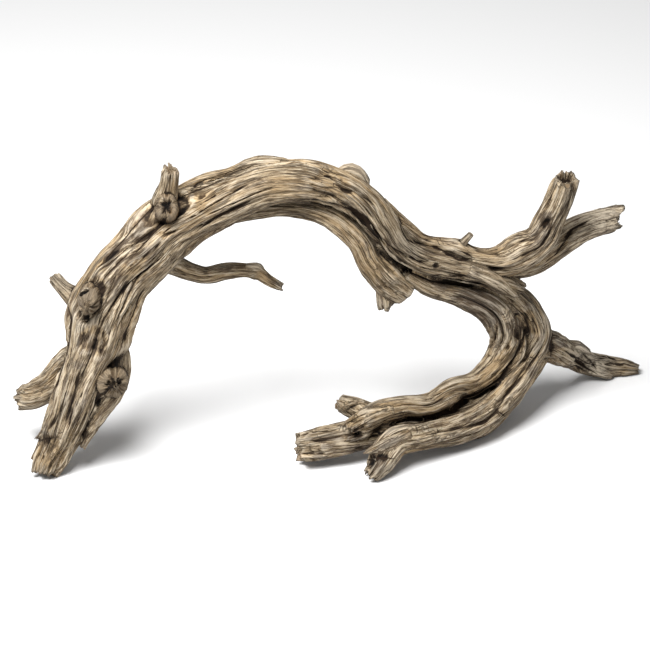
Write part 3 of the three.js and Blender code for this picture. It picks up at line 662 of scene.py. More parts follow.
def split_ends(strand, along, y, z):
    """How much of the skin is gone near broken ends, where bundles of fibres end at different lengths."""
    gone = np.zeros(y.shape)
    for end in ("start", "end"):
        if strand.facts.get(end + "_jag"):
            left = along if end == "start" else strand.length - along
            radius = strand.radius[0 if end == "start" else -1]
            span = strand.facts.get(end + "_split", 1.5 * radius)
            bundle = bundle_share(y, z, 0.42 * radius, strand.seed + 51)
            fray = noise(y / 2.5, z / 2.5, 0 * y + 5.5, strand.seed + 52)
            short = span * (1.5 * bundle - 0.5) - left + 3 * fray
            gone += min(0.16 * radius, 3.6) * step_up(0, 2, short)
            gone += min(0.12 * radius, 2.4) * step_up(0, 2, short - 0.35 * span)
    return gone


def worn_share(strand, angle):
    """0 to 1: how far the outer wood has broken away, from the places noted as worn."""
    place = strand.centre[:, None] + strand.radius[:, None, None] * strand.outward(angle)
    share = np.zeros(place.shape[:2])
    for across, up, back, radius in WORN:
        middle, _ = sighted(across, up, back)
        share = np.maximum(share, np.clip(1.4 - np.linalg.norm(place - middle, axis=-1) / radius, 0, 1))
    return share


def skin_reach(strand, along, angle):
    """How far the skin lies from the strand's middle, the grain's own coordinates and the worn share."""
    seed = 20 * strand.seed
    radius = strand.radius[:, None]
    girth = strand.girth
    thick = np.clip(radius / 20, 0.35, 1.3)
    fine = np.sqrt(thick)

    def drawn_out(length, breadth, draw, field=noise):
        """A random field over the grain whose marks have about this length and breadth."""
        return field(along / length, y / breadth, z / breadth, seed + draw)

    fibre = strand.grain_angle(along, angle)
    y = girth * np.cos(fibre)
    z = girth * np.sin(fibre)
    sway = 2.4 * drawn_out(45, 15, 1) + 5 * drawn_out(130, 30, 2)
    fibre = fibre + sway / girth
    y = girth * np.cos(fibre)
    z = girth * np.sin(fibre)
    reach = radius * (1 + broad_furrows(strand, along, fibre)) + root_swell(strand, along, angle)
    ridged = 0.45 + 0.85 * step_up(-0.25, 0.3, drawn_out(110, 24, 10))
    ridged = 0.7 * ridged * strand.facts.get("relief", 1.0)
    reach = reach + RIDGE_HEIGHT * thick * ridged * (drawn_out(110, 9, 3, furrow_field) - MEAN_FURROW)
    reach = reach + FIBRE_HEIGHT * fine * ridged * (drawn_out(45, 3.2, 4, furrow_field) - MEAN_FURROW)
    reach = reach + LUMP_HEIGHT * thick * drawn_out(38, 17, 5)
    reach = reach + ROUGH_HEIGHT * fine * drawn_out(9, 4.5, 14)
    crack = np.clip(1 - np.abs(drawn_out(160, 11, 6)) / 0.1, 0, 1)
    crack = crack * step_up(-0.05, 0.18, drawn_out(90, 28, 7))
    reach = reach - CRACK_DEPTH * thick * crack
    pit = step_up(0.42, 0.5, drawn_out(14, 4.6, 11))
    pit = pit * step_up(-0.05, 0.2, drawn_out(70, 24, 12))
    reach = reach - PIT_DEPTH * fine * pit
    worn = step_up(0.15, 0.6, worn_share(strand, angle) + 0.5 * drawn_out(14, 7, 13))
    scale = drawn_out(22, 8, 8)
    steps = step_up(0.06, 0.12, scale) + step_up(0.26, 0.32, scale) + step_up(-0.2, -0.14, scale)
    scaly = step_up(0.02, 0.2, drawn_out(110, 36, 9))
    reach = reach - SCALE_DEPTH * thick * steps * np.maximum(0.8 * scaly, 1.6 * worn) - 1.2 * worn
    reach = reach - split_ends(strand, along, y, z)
    reach = np.maximum(reach, 0.35 * radius)
    return reach, np.stack([np.broadcast_to(along, y.shape), y, z], axis=-1), worn


def rim_height(jag, angle, seed):
    """How far the splinters of a broken end stand out past its last section."""
    coarse = 0.6 * np.sin(2 * angle + seed) + 0.5 * np.sin(5 * angle + 2 * seed)
    x, y = np.cos(angle), np.sin(angle)
    fine = 1.3 * bundle_share(x, y, 0.42, seed + 31) - 0.65
    fine = fine + 0.4 * noise(10 * x, 10 * y, 0 * x + 7.1, seed + 32)
    return jag * (coarse + fine)


def end_cap(strand, end, flat, grain, rim, outer, first):
    """What closes an end, in rings from its rim to its middle: points, grain, marks, faces and a fan."""
    facts = strand.facts
    row = 0 if end == "start" else -1
    sign = -1 if end == "start" else 1
    jag = facts.get(end + "_jag", 0)
    hollow = facts.get(end + "_hollow", 0)
    knot = facts.get("knot", False)
    torn = 1.0 if jag else 0.0
    dish = max(hollow, 0) / DEEP_DISH
    sides = len(outer)
    points, grains, marks, faces = [], [], [], []
    rings = max(3, int(round(strand.radius[row] / CELL_CAP)))
    for share in np.linspace(1, 0, rings + 1)[1:-1]:
        spot = flat * share
        dome = -hollow * (1 - share ** 2)
        side = spot @ strand.aside[row]
        deep = spot @ strand.inward[row]
        fray = noise(side / 3, deep / 3, 0 * side + 1.5, strand.seed + 41)
        chunk = facts.get("chunks", 5.0) * knot * (bundle_share(side, deep, 7, strand.seed + 42) - 0.6)
        lift = sign * (rim * share + dome + (0.4 * jag + 2.5 * knot) * fray + chunk)
        points.append(strand.centre[row] + spot + lift[:, None] * strand.ahead[row])
        shifted = grain.copy()
        shifted[:, 1:] *= share
        shifted[:, 0] += lift
        grains.append(shifted)
        # The dish is darkened towards its middle: rot and painted shade.
        marks.append(np.tile([torn, 0.0, dish * (1 - share ** 2)], (sides, 1)))
        inner = first + np.arange(sides)
        first += sides
        quad = [outer, np.roll(outer, -1), np.roll(inner, -1), inner]
        faces.append(np.stack(quad[::sign], axis=1))
        outer = inner
    points.append((strand.centre[row] - sign * hollow * strand.ahead[row])[None])
    grains.append(np.array([[strand.along[row], 0.0, 0.0]]))
    marks.append(np.array([[torn, 0.0, dish]]))
    fan = [np.full(sides, first), *[outer, np.roll(outer, -1)][::sign]]
    return np.vstack(points), np.vstack(grains), np.vstack(marks), faces, np.stack(fan, axis=1)


def strand_skin(strand):
    """Points, faces, grain and marks of one closed strand."""
    facts = strand.facts
    sides = max(14, int(round(2 * math.pi * strand.radius.max() / CELL_ROUND)))
    ring = np.arange(sides)
    angle = np.linspace(0, 2 * math.pi, sides, endpoint=False)[None, :]
    along = strand.along[:, None]
    reach, grain, worn = skin_reach(strand, along, angle)
    flat = reach[..., None] * strand.outward(angle, facts.get("oval", 1.0))
    window = min(SPLINTER_LENGTH, 0.4 * strand.length)
    push = np.zeros(reach.shape)
    broken = np.zeros(reach.shape)
    rims = {}
    for end, sign in (("start", -1), ("end", 1)):
        left = along if end == "start" else strand.length - along
        jag = facts.get(end + "_jag", 0)
        rims[end] = rim_height(jag, angle, strand.seed)[0]
        push += sign * rims[end] * np.clip(1 - left / window, 0, 1)
        if jag:
            broken = np.maximum(broken, np.clip(1 - left / BROKEN_BAND, 0, 1))
    skin = strand.centre[:, None] + flat + push[..., None] * strand.ahead[:, None]
    points = skin.reshape(-1, 3)
    grains = grain.reshape(-1, 3)
    marks = np.stack([broken, worn, 0 * worn], axis=-1).reshape(-1, 3)
    faces = []
    for first in range(0, sides * (len(along) - 1), sides):
        here = first + ring
        ahead = here + sides
        faces.append(np.stack([here, np.roll(here, -1), np.roll(ahead, -1), ahead], axis=1))
    fans = []
    for end, row in (("start", 0), ("end", len(along) - 1)):
        outer = row * sides + ring
        cap = end_cap(strand, end, flat[row], grain[row], rims[end], outer, len(points))
        points = np.vstack([points, cap[0]])
        grains = np.vstack([grains, cap[1]])
        marks = np.vstack([marks, cap[2]])
        faces += cap[3]
        fans.append(cap[4])
    grains[:, 0] += GRAIN_APART * strand.seed
    return points, faces + fans, grains, marks


def strand_object(strand):
    """A strand as a mesh object in metres, its grain and marks kept on its points."""
    points, faces, grain, marks = strand_skin(strand)
    mesh = bpy.data.meshes.new(strand.name)
    rows = [tuple(int(i) for i in row) for block in faces for row in block]
    mesh.from_pydata([tuple(p) for p in (points - ORIGIN) * MM], [], rows)
    knot = np.full(len(points), 1.0 if strand.facts.get("knot") else 0.0)
    write_marks(
        mesh, grain=grain * MM, broken=marks[:, 0], worn=marks[:, 1], hollow=marks[:, 2], knot=knot,
        known=np.ones(len(points)),
    )
    thing = bpy.data.objects.new(strand.name, mesh)
    bpy.context.scene.collection.objects.link(thing)
    return thing


def write_marks(mesh, **marks):
    """Keeps arrays of numbers or vectors on a mesh's points under their names."""
    for name, values in marks.items():
        kind = "FLOAT_VECTOR" if values.ndim == 2 else "FLOAT"
        layer = mesh.attributes.get(name) or mesh.attributes.new(name, kind, "POINT")
        field = "vector" if values.ndim == 2 else "value"
        layer.data.foreach_set(field, np.ascontiguousarray(values, dtype=np.float32).ravel())


def read_rows(items, field, width, kind=np.float32):
    """An array with a row of numbers for each point, edge or mark."""
    values = np.empty(width * len(items), dtype=kind)
    items.foreach_get(field, values)
    return values.reshape(-1, width)


def read_mark(mesh, name):
    """An array of what a mesh keeps on its points under a name."""
    layer = mesh.attributes[name]
    if layer.data_type == "FLOAT_VECTOR":
        return read_rows(layer.data, "vector", 3).astype(float)
    return read_rows(layer.data, "value", 1)[:, 0].astype(float)


def read_points(mesh):
    """The places of a mesh's points."""
    return read_rows(mesh.vertices, "co", 3).astype(float)


def read_normals(mesh):
    """The ways that the skin faces at a mesh's points."""
    return read_rows(mesh.vertices, "normal", 3).astype(float)


def read_edges(mesh):
    """The two points of each edge of a mesh."""
    return read_rows(mesh.edges, "vertices", 2, np.int32)


# Joining

def on_sheet(points):
    """Where points of the wood are seen on the sheet of the set-out: across and up."""
    ray = points - EYE
    seen = EYE + ray * (EYE_DISTANCE / (ray @ SIGHT))[:, None]
    return np.stack([seen[:, 0], seen @ SHEET_UP], axis=1)


def spot_strength(sheet, spots):
    """How strongly each place on the sheet lies in soft round spots."""
    total = np.zeros(len(sheet))
    for across, up, radius, value in spots:
        total += value * np.exp(-((sheet - (across, up)) ** 2).sum(axis=1) / radius ** 2)
    return total


def press_crevices(mesh):
    """Presses the crevices into the skin, with rounded lips, and darkens their beds with painted shade."""
    points = read_points(mesh) / MM + ORIGIN
    normals = read_normals(mesh)
    sheet = on_sheet(points)
    bed = read_mark(mesh, "hollow")
    sink = np.zeros(len(points))
    crack = np.tile([50.0, 0.0, 0.0], (len(points), 1))
    closest = np.full(len(points), np.inf)
    facing = step_up(-0.35, 0.35, -normals @ SIGHT)
    for i, stations in enumerate(CREVICES.values()):
        row = np.array(stations)
        steps = np.linspace(0, len(row) - 1, 12 * len(row))
        line = np.stack([np.interp(steps, np.arange(len(row)), row[:, k]) for k in range(4)], axis=1)
        taper = np.clip(np.minimum(np.arange(len(line)), np.arange(len(line))[::-1]) / 9, 0.2, 1)
        ahead = np.gradient(line[:, :2], axis=0)
        ahead = ahead / np.linalg.norm(ahead, axis=1, keepdims=True)
        low = line[:, :2].min(axis=0) - 15
        high = line[:, :2].max(axis=0) + 15
        near = np.flatnonzero((facing > 0) & (sheet > low).all(axis=1) & (sheet < high).all(axis=1))
        away = np.full(len(near), np.inf)
        width = np.ones(len(near))
        side = np.ones(len(near))
        past = np.zeros(len(near))
        for (across, up, back, radius), way, narrow in zip(line, ahead, taper):
            gap = sheet[near] - (across, up)
            far = np.hypot(*gap.T) + 0.5 * np.maximum(np.abs(points[near, 1] - back) - 10, 0)
            closer = far < away
            away[closer] = far[closer]
            width[closer] = radius * narrow
            side[closer] = np.where(gap @ (-way[1], way[0]) < 0, -1, 1)[closer]
            past[closer] = np.abs(gap @ way)[closer]
        side = side * away + 0.9 * noise(*(points[near] / 5).T, 90 + i)
        away = np.abs(side)
        cut = 1.5 * width * np.exp(-(away / np.maximum(0.85 * width, 1.5)) ** 2)
        cut = cut + 0.5 * width * np.exp(-(away / (2.4 * width)) ** 2)
        sink[near] = np.maximum(sink[near], cut)
        # Painted shade in the bed of the crevice, kept with the hollow marks.
        shade = 0.5 * np.exp(-(away / (0.7 * width)) ** 2) * np.clip((width - 1.2) / 2, 0, 1)
        bed[near] = np.maximum(bed[near], shade)
        width = width * np.clip(1.5 - past / 3, 0, 1) * facing[near]
        nearer = away - width < closest[near]
        closest[near[nearer]] = (away - width)[nearer]
        crack[near[nearer]] = np.stack([side, width, 0 * side], axis=1)[nearer]
    even = np.full(len(points), 0.6)
    sink = spread((sink * facing)[:, None], read_edges(mesh), even, 3)
    way = 0.5 * SIGHT - normals
    way = way / np.linalg.norm(way, axis=1, keepdims=True)
    points = points + way * sink
    mesh.vertices.foreach_set("co", ((points - ORIGIN) * MM).ravel())
    tint = np.clip(spot_strength(sheet, TINTS), -1, 1)
    # Stains and painted shadows from the listed spots, on the side that is seen.
    stain = np.clip(spot_strength(sheet, STAINS_AND_SHADOWS) * facing, 0, 1)
    zone = np.clip(spot_strength(sheet, CHECKED), 0, 1)
    write_marks(mesh, hollow=bed, crack=crack, tint=tint, stain=stain, zone=zone)
    mesh.update()


def hollow_object(across, up, back, radius):
    """A lumpy ball that is cut out of the wood, marked so that the hollow it leaves gets painted shade."""
    bpy.ops.mesh.primitive_ico_sphere_add(subdivisions=3, radius=1)
    ball = bpy.context.object
    middle, factor = sighted(across, up, back)
    points = read_points(ball.data)
    size = radius * factor * (1 + 0.3 * noise(*(points * 1.4 + 0.37 * across).T, 77))
    ball.data.vertices.foreach_set("co", ((middle - ORIGIN + points * size[:, None]) * MM).ravel())
    ones = np.ones(len(points))
    write_marks(
        ball.data, grain=points * size[:, None] * MM, broken=0 * ones, worn=0 * ones, hollow=0.5 * ones,
        knot=0 * ones, known=ones,
    )
    return ball


def ground_object():
    """A block whose top is the ground, which wears the feet flat."""
    bpy.ops.mesh.primitive_cube_add(size=2, location=(0, 0, -1))
    return bpy.context.object


def join(base, others, operation):
    """Adds the others to the base or cuts them from it, and removes them."""
    group = bpy.data.collections.new(operation.lower())
    for other in others:
        group.objects.link(other)
    step = base.modifiers.new(operation, "BOOLEAN")
    step.operation = operation
    step.solver = "MANIFOLD"
    step.operand_type = "COLLECTION"
    step.collection = group
    bpy.context.view_layer.update()
    shaped = base.evaluated_get(bpy.context.evaluated_depsgraph_get())
    mesh = bpy.data.meshes.new_from_object(shaped)
    base.modifiers.clear()
    base.data = mesh
    for other in others:
        bpy.data.objects.remove(other, do_unlink=True)
    bpy.data.collections.remove(group)


def spread(values, edges, weight, rounds):
    """Moves each point's values towards the mean of its neighbours, as far as its weight says."""
    count = len(values)
    a, b = edges[:, 0], edges[:, 1]
    degree = np.maximum(np.bincount(np.concatenate([a, b]), minlength=count), 1)[:, None]
    for _ in range(rounds):
        total = np.zeros_like(values)
        for k in range(values.shape[1]):
            total[:, k] = np.bincount(a, values[b, k], count) + np.bincount(b, values[a, k], count)
        values = values + weight[:, None] * (total / degree - values)
    return values


def soften_seams(mesh):
    """Eases the creases where strands meet and carries the grain over them."""
    edges = read_edges(mesh)
    known = read_mark(mesh, "known")
    seam = (known < 0.5).astype(float)
    near = seam.copy()
    for _ in range(3):
        spread_out = near.copy()
        np.maximum.at(spread_out, edges[:, 0], 0.72 * near[edges[:, 1]])
        np.maximum.at(spread_out, edges[:, 1], 0.72 * near[edges[:, 0]])
        near = spread_out
    points = read_points(mesh)
    on_ground = points[:, 2] < GROUND_BAND
    weight = np.where(on_ground, 0, 0.6 * near)
    points = spread(points, edges, weight, 5)
    mesh.vertices.foreach_set("co", points.ravel())
    names = ("broken", "worn", "hollow", "knot")
    marks = np.column_stack([read_mark(mesh, "grain"), *(read_mark(mesh, name) for name in names)])
    known = known > 0.5
    for _ in range(4):
        total = np.zeros_like(marks)
        count = np.zeros(len(marks))
        for a, b in ((0, 1), (1, 0)):
            sure = edges[known[edges[:, b]]]
            np.add.at(total, sure[:, a], marks[sure[:, b]])
            np.add.at(count, sure[:, a], 1)
        lost = ~known & (count > 0)
        marks[lost] = total[lost] / count[lost, None]
        known = known | lost
    write_marks(mesh, grain=marks[:, :3], **{name: marks[:, 3 + i] for i, name in enumerate(names)})
    mesh.attributes.remove(mesh.attributes["known"])
    mesh.update()


def measure_grooves(mesh):
    """Keeps how deep each point lies in fine grooves and in the broad hollows between strands, for grime and
    painted shade, and how far it faces down, for painted shade on the undersides.
    """
    edges = read_edges(mesh)
    points = read_points(mesh)
    normals = read_normals(mesh)
    full = np.full(len(points), 0.7)
    fine = spread(points, edges, full, 8)
    broad = spread(fine, edges, full, 60)
    groove = ((fine - points) * normals).sum(axis=1) / MM
    deep = ((broad - points) * normals).sum(axis=1) / MM + 5 * read_mark(mesh, "hollow")
    # How far the skin faces down, for painted shade on the undersides.
    write_marks(mesh, groove=groove, deep=deep, under=step_up(0.05, 0.85, -normals[:, 2]))


def clear_crumbs(mesh):
    """Removes the flaps of no thickness and the loose crumbs that the joining leaves behind."""
    work = bmesh.new()
    work.from_mesh(mesh)
    bmesh.ops.triangulate(work, faces=work.faces[:])
    flaps = [None]
    while flaps:
        alike = {}
        for face in work.faces:
            alike.setdefault(frozenset(face.verts), []).append(face)
        flaps = [face for faces in alike.values() if len(faces) > 1 for face in faces]
        bmesh.ops.delete(work, geom=flaps, context="FACES")
    unseen = set(work.verts)
    islands = []
    while unseen:
        island = [unseen.pop()]
        for point in island:
            for edge in point.link_edges:
                other = edge.other_vert(point)
                if other in unseen:
                    unseen.remove(other)
                    island.append(other)
        islands.append(island)
    islands.sort(key=len)
    crumbs = [point for island in islands[:-1] for point in island]
    bmesh.ops.delete(work, geom=crumbs, context="VERTS")
    work.to_mesh(mesh)
    work.free()
    mesh.update()


def driftwood_object():
    """All strands joined into one piece of wood, with its hollows cut and its feet worn flat."""
    strands = [Strand(facts, i + 1) for i, facts in enumerate(STRANDS + SPLINTERS)]
    by_name = {strand.name: strand for strand in strands}
    for strand in strands:
        if "grows_from" in strand.facts:
            by_name[strand.facts["grows_from"]].note_root(strand)
    pieces = [strand_object(strand) for strand in strands]
    wood = pieces[0]
    join(wood, pieces[1:], "UNION")
    hollows = [hollow_object(*hollow) for hollow in HOLLOWS]
    join(wood, [*hollows, ground_object()], "DIFFERENCE")
    wood.name = "driftwood_skin"
    wood.data.name = "driftwood_skin"
    soften_seams(wood.data)
    press_crevices(wood.data)
    measure_grooves(wood.data)
    clear_crumbs(wood.data)
    wood.data.shade_smooth()
    return wood


wood = driftwood_object()


# Finishes

def srgb(red, green, blue):
    """A colour read on a screen, 0 to 255, as the light it stands for."""
    values = [c / 255 for c in (red, green, blue)]
    return tuple(c / 12.92 if c <= 0.04045 else ((c + 0.055) / 1.055) ** 2.4 for c in values) + (1.0,)


def feed(tree, value, socket):
    """Links a socket to another, or sets its value."""
    if isinstance(value, bpy.types.NodeSocket):
        tree.links.new(value, socket)
    else:
        socket.default_value = value


def maths(tree, operation, first, second=0.0):
    """A sum, product or the like of two values."""
    node = tree.nodes.new("ShaderNodeMath")
    node.operation = operation
    feed(tree, first, node.inputs[0])
    feed(tree, second, node.inputs[1])
    return node.outputs[0]


def between(tree, value, low, high, at_low=0.0, at_high=1.0):
    """Maps a value smoothly from low and high to two others."""
    node = tree.nodes.new("ShaderNodeMapRange")
    node.interpolation_type = "SMOOTHSTEP"
    feed(tree, value, node.inputs["Value"])
    node.inputs["From Min"].default_value = low
    node.inputs["From Max"].default_value = high
    node.inputs["To Min"].default_value = at_low
    node.inputs["To Max"].default_value = at_high
    return node.outputs["Result"]


def blended(tree, factor, first, second, kind="MIX"):
    """A mix of two colours."""
    node = tree.nodes.new("ShaderNodeMix")
    node.data_type = "RGBA"
    node.blend_type = kind
    feed(tree, factor, node.inputs["Factor"])
    feed(tree, first, node.inputs[6])
    feed(tree, second, node.inputs[7])
    return node.outputs[2]


def scaled(tree, grain, along, across):
    """The grain's coordinates, scaled along it and across it."""
    node = tree.nodes.new("ShaderNodeVectorMath")
    node.operation = "MULTIPLY"
    feed(tree, grain, node.inputs[0])
    node.inputs[1].default_value = (along, across, across)
    return node.outputs[0]


def speckle(tree, vector, detail, roughness, distortion=0.0):
    """Noise at scale 1 over a vector."""
    node = tree.nodes.new("ShaderNodeTexNoise")
    feed(tree, vector, node.inputs["Vector"])
    node.inputs["Scale"].default_value = 1.0
    node.inputs["Detail"].default_value = detail
    node.inputs["Roughness"].default_value = roughness
    node.inputs["Distortion"].default_value = distortion
    return node.outputs["Fac"]


def lines(tree, vector, thin, thick):
    """1 on the lines where a smooth noise crosses its middle, fading out at the thickness given."""
    away = maths(tree, "ABSOLUTE", maths(tree, "SUBTRACT", speckle(tree, vector, 1, 0.5, 0.25), 0.5))
    return between(tree, away, thin, thick, 1.0, 0.0)


def shades(tree, value, stops):
    """A colour ramp through [place, colour] stops."""
    node = tree.nodes.new("ShaderNodeValToRGB")
    ramp = node.color_ramp
    while len(ramp.elements) < len(stops):
        ramp.elements.new(0.5)
    for element, (place, colour) in zip(ramp.elements, stops):
        element.position = place
        element.color = colour
    feed(tree, value, node.inputs["Fac"])
    return node.outputs["Color"]


def kept(tree, name, output):
    """What the mesh keeps on its points under a name."""
    node = tree.nodes.new("ShaderNodeAttribute")
    node.attribute_name = name
    return node.outputs[output]


def group_of(name, inputs, outputs):
    """An empty shader group with named sockets: the tree, its inputs and its outputs."""
    tree = bpy.data.node_groups.new(name, "ShaderNodeTree")
    for label, kind in inputs:
        tree.interface.new_socket(label, in_out="INPUT", socket_type=kind)
    for label, kind in outputs:
        tree.interface.new_socket(label, in_out="OUTPUT", socket_type=kind)
    return tree, tree.nodes.new("NodeGroupInput").outputs, tree.nodes.new("NodeGroupOutput").inputs


FLOAT = "NodeSocketFloat"
VECTOR = "NodeSocketVector"
COLOUR = "NodeSocketColor"


def fibre_group():
    """Long streaks, fine fibres and splits that run with the grain, and checks across it in some zones."""
    tree, given, put = group_of(
        "wood_fibres",
        [("Grain", VECTOR), ("Zone", FLOAT)],
        [("Streak", FLOAT), ("Fibre", FLOAT), ("Split", FLOAT), ("Patch", FLOAT), ("Stain", FLOAT)],
    )
    grain = given["Grain"]
    streak = speckle(tree, scaled(tree, grain, 20, 320), 5, 0.72, 0.4)
    fibre = speckle(tree, scaled(tree, grain, 90, 850), 4, 0.75, 0.3)
    short = lines(tree, scaled(tree, grain, 26, 360), 0.02, 0.1)
    near = between(tree, speckle(tree, scaled(tree, grain, 24, 90), 3, 0.6), 0.44, 0.6, 0.15, 1.0)
    long = lines(tree, scaled(tree, grain, 9, 150), 0.01, 0.045)
    far = between(tree, speckle(tree, scaled(tree, grain, 16, 60), 3, 0.6), 0.49, 0.57)
    check = lines(tree, scaled(tree, grain, 130, 80), 0.01, 0.06)
    zone = maths(tree, "MULTIPLY", given["Zone"], 0.2)
    zone = maths(tree, "ADD", speckle(tree, scaled(tree, grain, 60, 90), 2, 0.5, 0.4), zone)
    zone = between(tree, zone, 0.63, 0.7)
    split = maths(tree, "MAXIMUM", maths(tree, "MULTIPLY", short, near), maths(tree, "MULTIPLY", long, far))
    split = maths(tree, "MAXIMUM", split, maths(tree, "MULTIPLY", check, zone))
    feed(tree, streak, put["Streak"])
    feed(tree, fibre, put["Fibre"])
    feed(tree, split, put["Split"])
    feed(tree, speckle(tree, scaled(tree, grain, 9, 38), 3, 0.6, 0.5), put["Patch"])
    feed(tree, speckle(tree, scaled(tree, grain, 22, 75), 5, 0.7, 0.8), put["Stain"])
    return tree


def weather_group():
    """Silvered crests that also carry a painted highlight, ochre patches, grey stains with some painted
    shadow, and grime with painted shade in the grooves, hollows and undersides, over a streaked wood.
    """
    tree, given, put = group_of(
        "weathering",
        [
            ("Tone", COLOUR), ("Warm", COLOUR), ("Silver and Highlight", COLOUR), ("Dirt and Shade", COLOUR),
            ("Streak", FLOAT), ("Fibre", FLOAT), ("Split", FLOAT), ("Patch", FLOAT), ("Stain", FLOAT),
            ("Groove", FLOAT), ("Deep", FLOAT), ("Worn", FLOAT), ("Under", FLOAT),
            ("Tint", FLOAT), ("Spot", FLOAT), ("Crack", FLOAT), ("Lines", FLOAT),
        ],
        [("Colour", COLOUR), ("Roughness", FLOAT), ("Height", FLOAT)],
    )
    colour = given["Tone"]
    fray = maths(tree, "SUBTRACT", 1.0, maths(tree, "ADD", given["Streak"], given["Fibre"]))
    grooved = maths(tree, "ADD", given["Groove"], maths(tree, "MULTIPLY", fray, 1.8))
    sunk = maths(tree, "ADD", given["Deep"], maths(tree, "MULTIPLY", fray, 4.0))
    tinted = maths(tree, "MULTIPLY", given["Tint"], 0.1)
    warm = between(tree, maths(tree, "ADD", given["Patch"], tinted), 0.5, 0.66, 0.0, 0.6)
    warm = maths(tree, "MAXIMUM", warm, maths(tree, "MULTIPLY", given["Worn"], 0.6))
    colour = blended(tree, warm, colour, given["Warm"])
    bleached = between(tree, given["Tint"], -0.1, -1.0, 0.0, 0.7)
    colour = blended(tree, bleached, colour, given["Silver and Highlight"])
    # Grey stains, with painted shadow where the spots on the sheet mark it.
    spotted = maths(tree, "ADD", given["Stain"], maths(tree, "MULTIPLY", given["Spot"], 0.3))
    spotted = maths(tree, "ADD", spotted, maths(tree, "MULTIPLY", fray, 0.6))
    grey = between(tree, spotted, 0.54, 0.7, 0.0, 0.8)
    colour = blended(tree, grey, colour, srgb(84, 72, 62))
    # Convex crests lightened towards the silvered tone: bleaching and a painted highlight.
    crest = between(tree, grooved, -0.1, -0.9, 0.0, 0.4)
    colour = blended(tree, crest, colour, given["Silver and Highlight"])
    fine = between(tree, given["Fibre"], 0.5, 0.34, 0.0, 0.7)
    colour = blended(tree, fine, colour, srgb(84, 68, 50))
    # Grime and painted shade in the fine grooves and in the broad hollows between strands.
    groove = between(tree, grooved, 0.15, 1.0, 0.0, 0.85)
    colour = blended(tree, groove, colour, given["Dirt and Shade"], "MULTIPLY")
    deep = between(tree, sunk, 0.6, 4.2, 0.0, 0.94)
    colour = blended(tree, deep, colour, given["Dirt and Shade"], "MULTIPLY")
    # Painted shade on the skin that faces down.
    under = maths(tree, "MULTIPLY", given["Under"], 0.6)
    colour = blended(tree, under, colour, given["Dirt and Shade"], "MULTIPLY")
    line = maths(tree, "MAXIMUM", maths(tree, "MULTIPLY", given["Split"], given["Lines"]), given["Crack"])
    colour = blended(tree, line, colour, srgb(44, 32, 21))
    feed(tree, colour, put["Colour"])
    feed(tree, between(tree, given["Fibre"], 0.2, 0.8, 0.97, 0.78), put["Roughness"])
    relief = maths(tree, "ADD", given["Fibre"], maths(tree, "MULTIPLY", given["Streak"], 1.6))
    feed(tree, maths(tree, "SUBTRACT", relief, line), put["Height"])
    return tree


FIBRES = fibre_group()
WEATHER = weather_group()

# Where the five tones of a finish lie on its streaks, and which of the skin's marks the weathering reads.
TONE_PLACES = (0.36, 0.45, 0.5, 0.55, 0.64)
MARKS_READ = {
    "Groove": "groove", "Deep": "deep", "Worn": "worn", "Under": "under", "Tint": "tint", "Spot": "stain",
}
RIPPLE_HEIGHT = 0.002


def crack_line(tree):
    """1 on the cracks, from the distance to their lines and their widths, both in millimetres."""
    parts = tree.nodes.new("ShaderNodeSeparateXYZ")
    feed(tree, kept(tree, "crack", "Vector"), parts.inputs[0])
    away = maths(tree, "ABSOLUTE", parts.outputs["X"])
    width = parts.outputs["Y"]
    past = maths(tree, "SUBTRACT", away, maths(tree, "MULTIPLY", width, 0.4))
    line = between(tree, past, -0.3, 0.3, 1.0, 0.0)
    return maths(tree, "MULTIPLY", line, between(tree, width, 0.15, 0.7, 0.0, 0.92))


def wood_material(name, tones, warm, silver_and_highlight, dirt_and_shade, lines_shown):
    """A dry wood finish whose streaks run through the tones from dark to pale."""
    material = bpy.data.materials.new(name)
    material.use_nodes = True
    tree = material.node_tree
    shader = tree.nodes["Principled BSDF"]
    fibres = tree.nodes.new("ShaderNodeGroup")
    fibres.node_tree = FIBRES
    feed(tree, kept(tree, "grain", "Vector"), fibres.inputs["Grain"])
    feed(tree, kept(tree, "zone", "Fac"), fibres.inputs["Zone"])
    streak = maths(tree, "MULTIPLY", fibres.outputs["Streak"], 0.6)
    fibre = maths(tree, "MULTIPLY", fibres.outputs["Fibre"], 0.4)
    tone = shades(tree, maths(tree, "ADD", streak, fibre), list(zip(TONE_PLACES, tones)))
    weather = tree.nodes.new("ShaderNodeGroup")
    weather.node_tree = WEATHER
    given = {"Tone": tone, "Warm": warm, "Silver and Highlight": silver_and_highlight, "Dirt and Shade": dirt_and_shade, "Lines": lines_shown}
    for socket, value in given.items():
        feed(tree, value, weather.inputs[socket])
    for mark in ("Streak", "Fibre", "Split", "Patch", "Stain"):
        feed(tree, fibres.outputs[mark], weather.inputs[mark])
    for socket, mark in MARKS_READ.items():
        feed(tree, kept(tree, mark, "Fac"), weather.inputs[socket])
    feed(tree, crack_line(tree), weather.inputs["Crack"])
    ripple = tree.nodes.new("ShaderNodeBump")
    ripple.inputs["Strength"].default_value = 1.0
    ripple.inputs["Distance"].default_value = RIPPLE_HEIGHT
    feed(tree, weather.outputs["Height"], ripple.inputs["Height"])
    feed(tree, weather.outputs["Colour"], shader.inputs["Base Color"])
    feed(tree, weather.outputs["Roughness"], shader.inputs["Roughness"])
    feed(tree, ripple.outputs["Normal"], shader.inputs["Normal"])
    shader.inputs["Specular IOR Level"].default_value = 0.2
    return material


